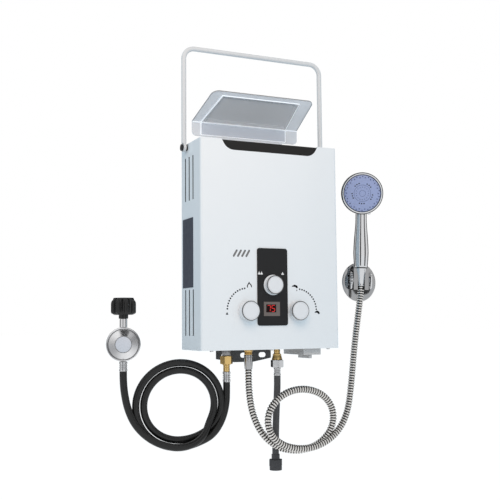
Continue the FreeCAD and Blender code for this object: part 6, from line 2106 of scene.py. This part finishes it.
        # skin of painted reflection over the ring's outer rounding
        edge = [(r - 2.4, -1.5), (r - 1.8, 4.7), (r - 1.1, 4.35), (r - 0.3, 3.2), (r + 0.06, 1.3),
                (r + 0.06, -2.0), (r - 0.2, -4.4), (r - 1.6, -4.6)]
        turned("spray_ring_edge", edge, face, Look.EDGE, (), Body.SELECTOR, 50, 128)

    def plate(self) -> None:
        """Crowned spray plate with its rings, rubber nozzles, dark pips of painted shade for its
        holes and a dark ring of painted shade in the gap round it.
        """
        face, r = Tilted.FACE.value, self.plate_radius
        profile = [(0, 0.5), (r - 1.1, 0.5), (r - 0.9, 0.7), (r - 0.9, 3.3)]
        for step in range(self.crown_steps + 1):
            across = (r - 0.9) * (1 - step / self.crown_steps)
            profile.append((max(across - 0.3, 0), self.crown(across)))
        turned("spray_face", profile, face, Look.SPRAY, ("spray_plate",), Body.SELECTOR, 50, 128)
        # dark ring of painted shade in the gap between the plate and the selector ring
        gap = [(r - 0.95, 0.6), (r + 0.3, 0.6), (r + 0.3, 3.9), (r - 0.95, 3.0)]
        turned("spray_gap", gap, face, Look.RUBBER, body=Body.SELECTOR, steps=96)
        lines = Draft("spray_lines")
        for radius in self.line_rows:
            top = self.crown(radius)
            lines.lathe([(radius - 0.35, top - 0.3), (radius + 0.35, top - 0.3),
                         (radius + 0.3, top + 0.12), (radius - 0.3, top + 0.12)], face, 96)
        lines.finish(Look.NOZZLE, Body.SELECTOR, (), 40)
        outer = [(self.nozzle_row + self.nozzle_zigzag * (k % 2), 2 * math.pi * k / self.nozzles)
                 for k in range(self.nozzles)]
        middle = [(self.pin_row, 2 * math.pi * k / self.pins) for k in range(self.pins)]
        starts = [self.first_hole + 360 / self.hole_groups * g for g in range(self.hole_groups)]
        # black pips of painted shade where the plate's holes are
        dark = [(self.hole_row, math.radians(start + self.hole_step * k))
                for start in starts for k in (-1, 0, 1)]
        self.dots("spray_nozzles", outer, 1.25, 1.0, Look.NOZZLE)
        self.dots("spray_pins", middle, 0.8, 0.7, Look.NOZZLE)
        self.dots("spray_holes", dark, 1.4, 0.25, Look.RUBBER)

    def crown(self, radius: float) -> float:
        """Height of the crowned face at a radius."""
        share = radius / self.plate_radius
        return self.plate_thick - 0.5 + (self.plate_crown + 0.4) * (1 - share * share)

    def dots(self, name: str, places: Outline, radius: float, high: float, look: Look) -> None:
        """Small turned pips on the spray face.

        Args:
            name: name of the piece.
            places: (radius, angle) pairs on the face.
            radius: radius of a pip.
            high: height of a pip above the face.
            look: the finish.
        """
        face = Tilted.FACE.value
        pip = Draft(name + "_pip").lathe([
            (0, -0.6), (radius, -0.6), (radius, high * 0.3), (radius * 0.7, high), (0, high)],
            Matrix.Identity(4), 10)
        points = [face @ Vector((*polar(r, a), self.crown(r))) for r, a in places]
        scatter(name, pip, points, [face.to_euler()] * len(points), look, Body.SELECTOR)


def main() -> None:
    """Builds the heater and its stage, in order."""
    logging.basicConfig(level=logging.INFO)
    Casing().build()
    Works().build()
    RainCap().build()
    CarryHandle().build()
    Controls().build()
    BatteryBox().build()
    on_gas, on_cold = Fittings().build()
    on_gas += Regulator().build()
    GasHose().build(on_gas)
    BraidedHose().build(on_cold)
    RippledHose().build()
    Holder().build()
    Handset().build()
    Studio().build()


if __name__ == "__main__":
    main()
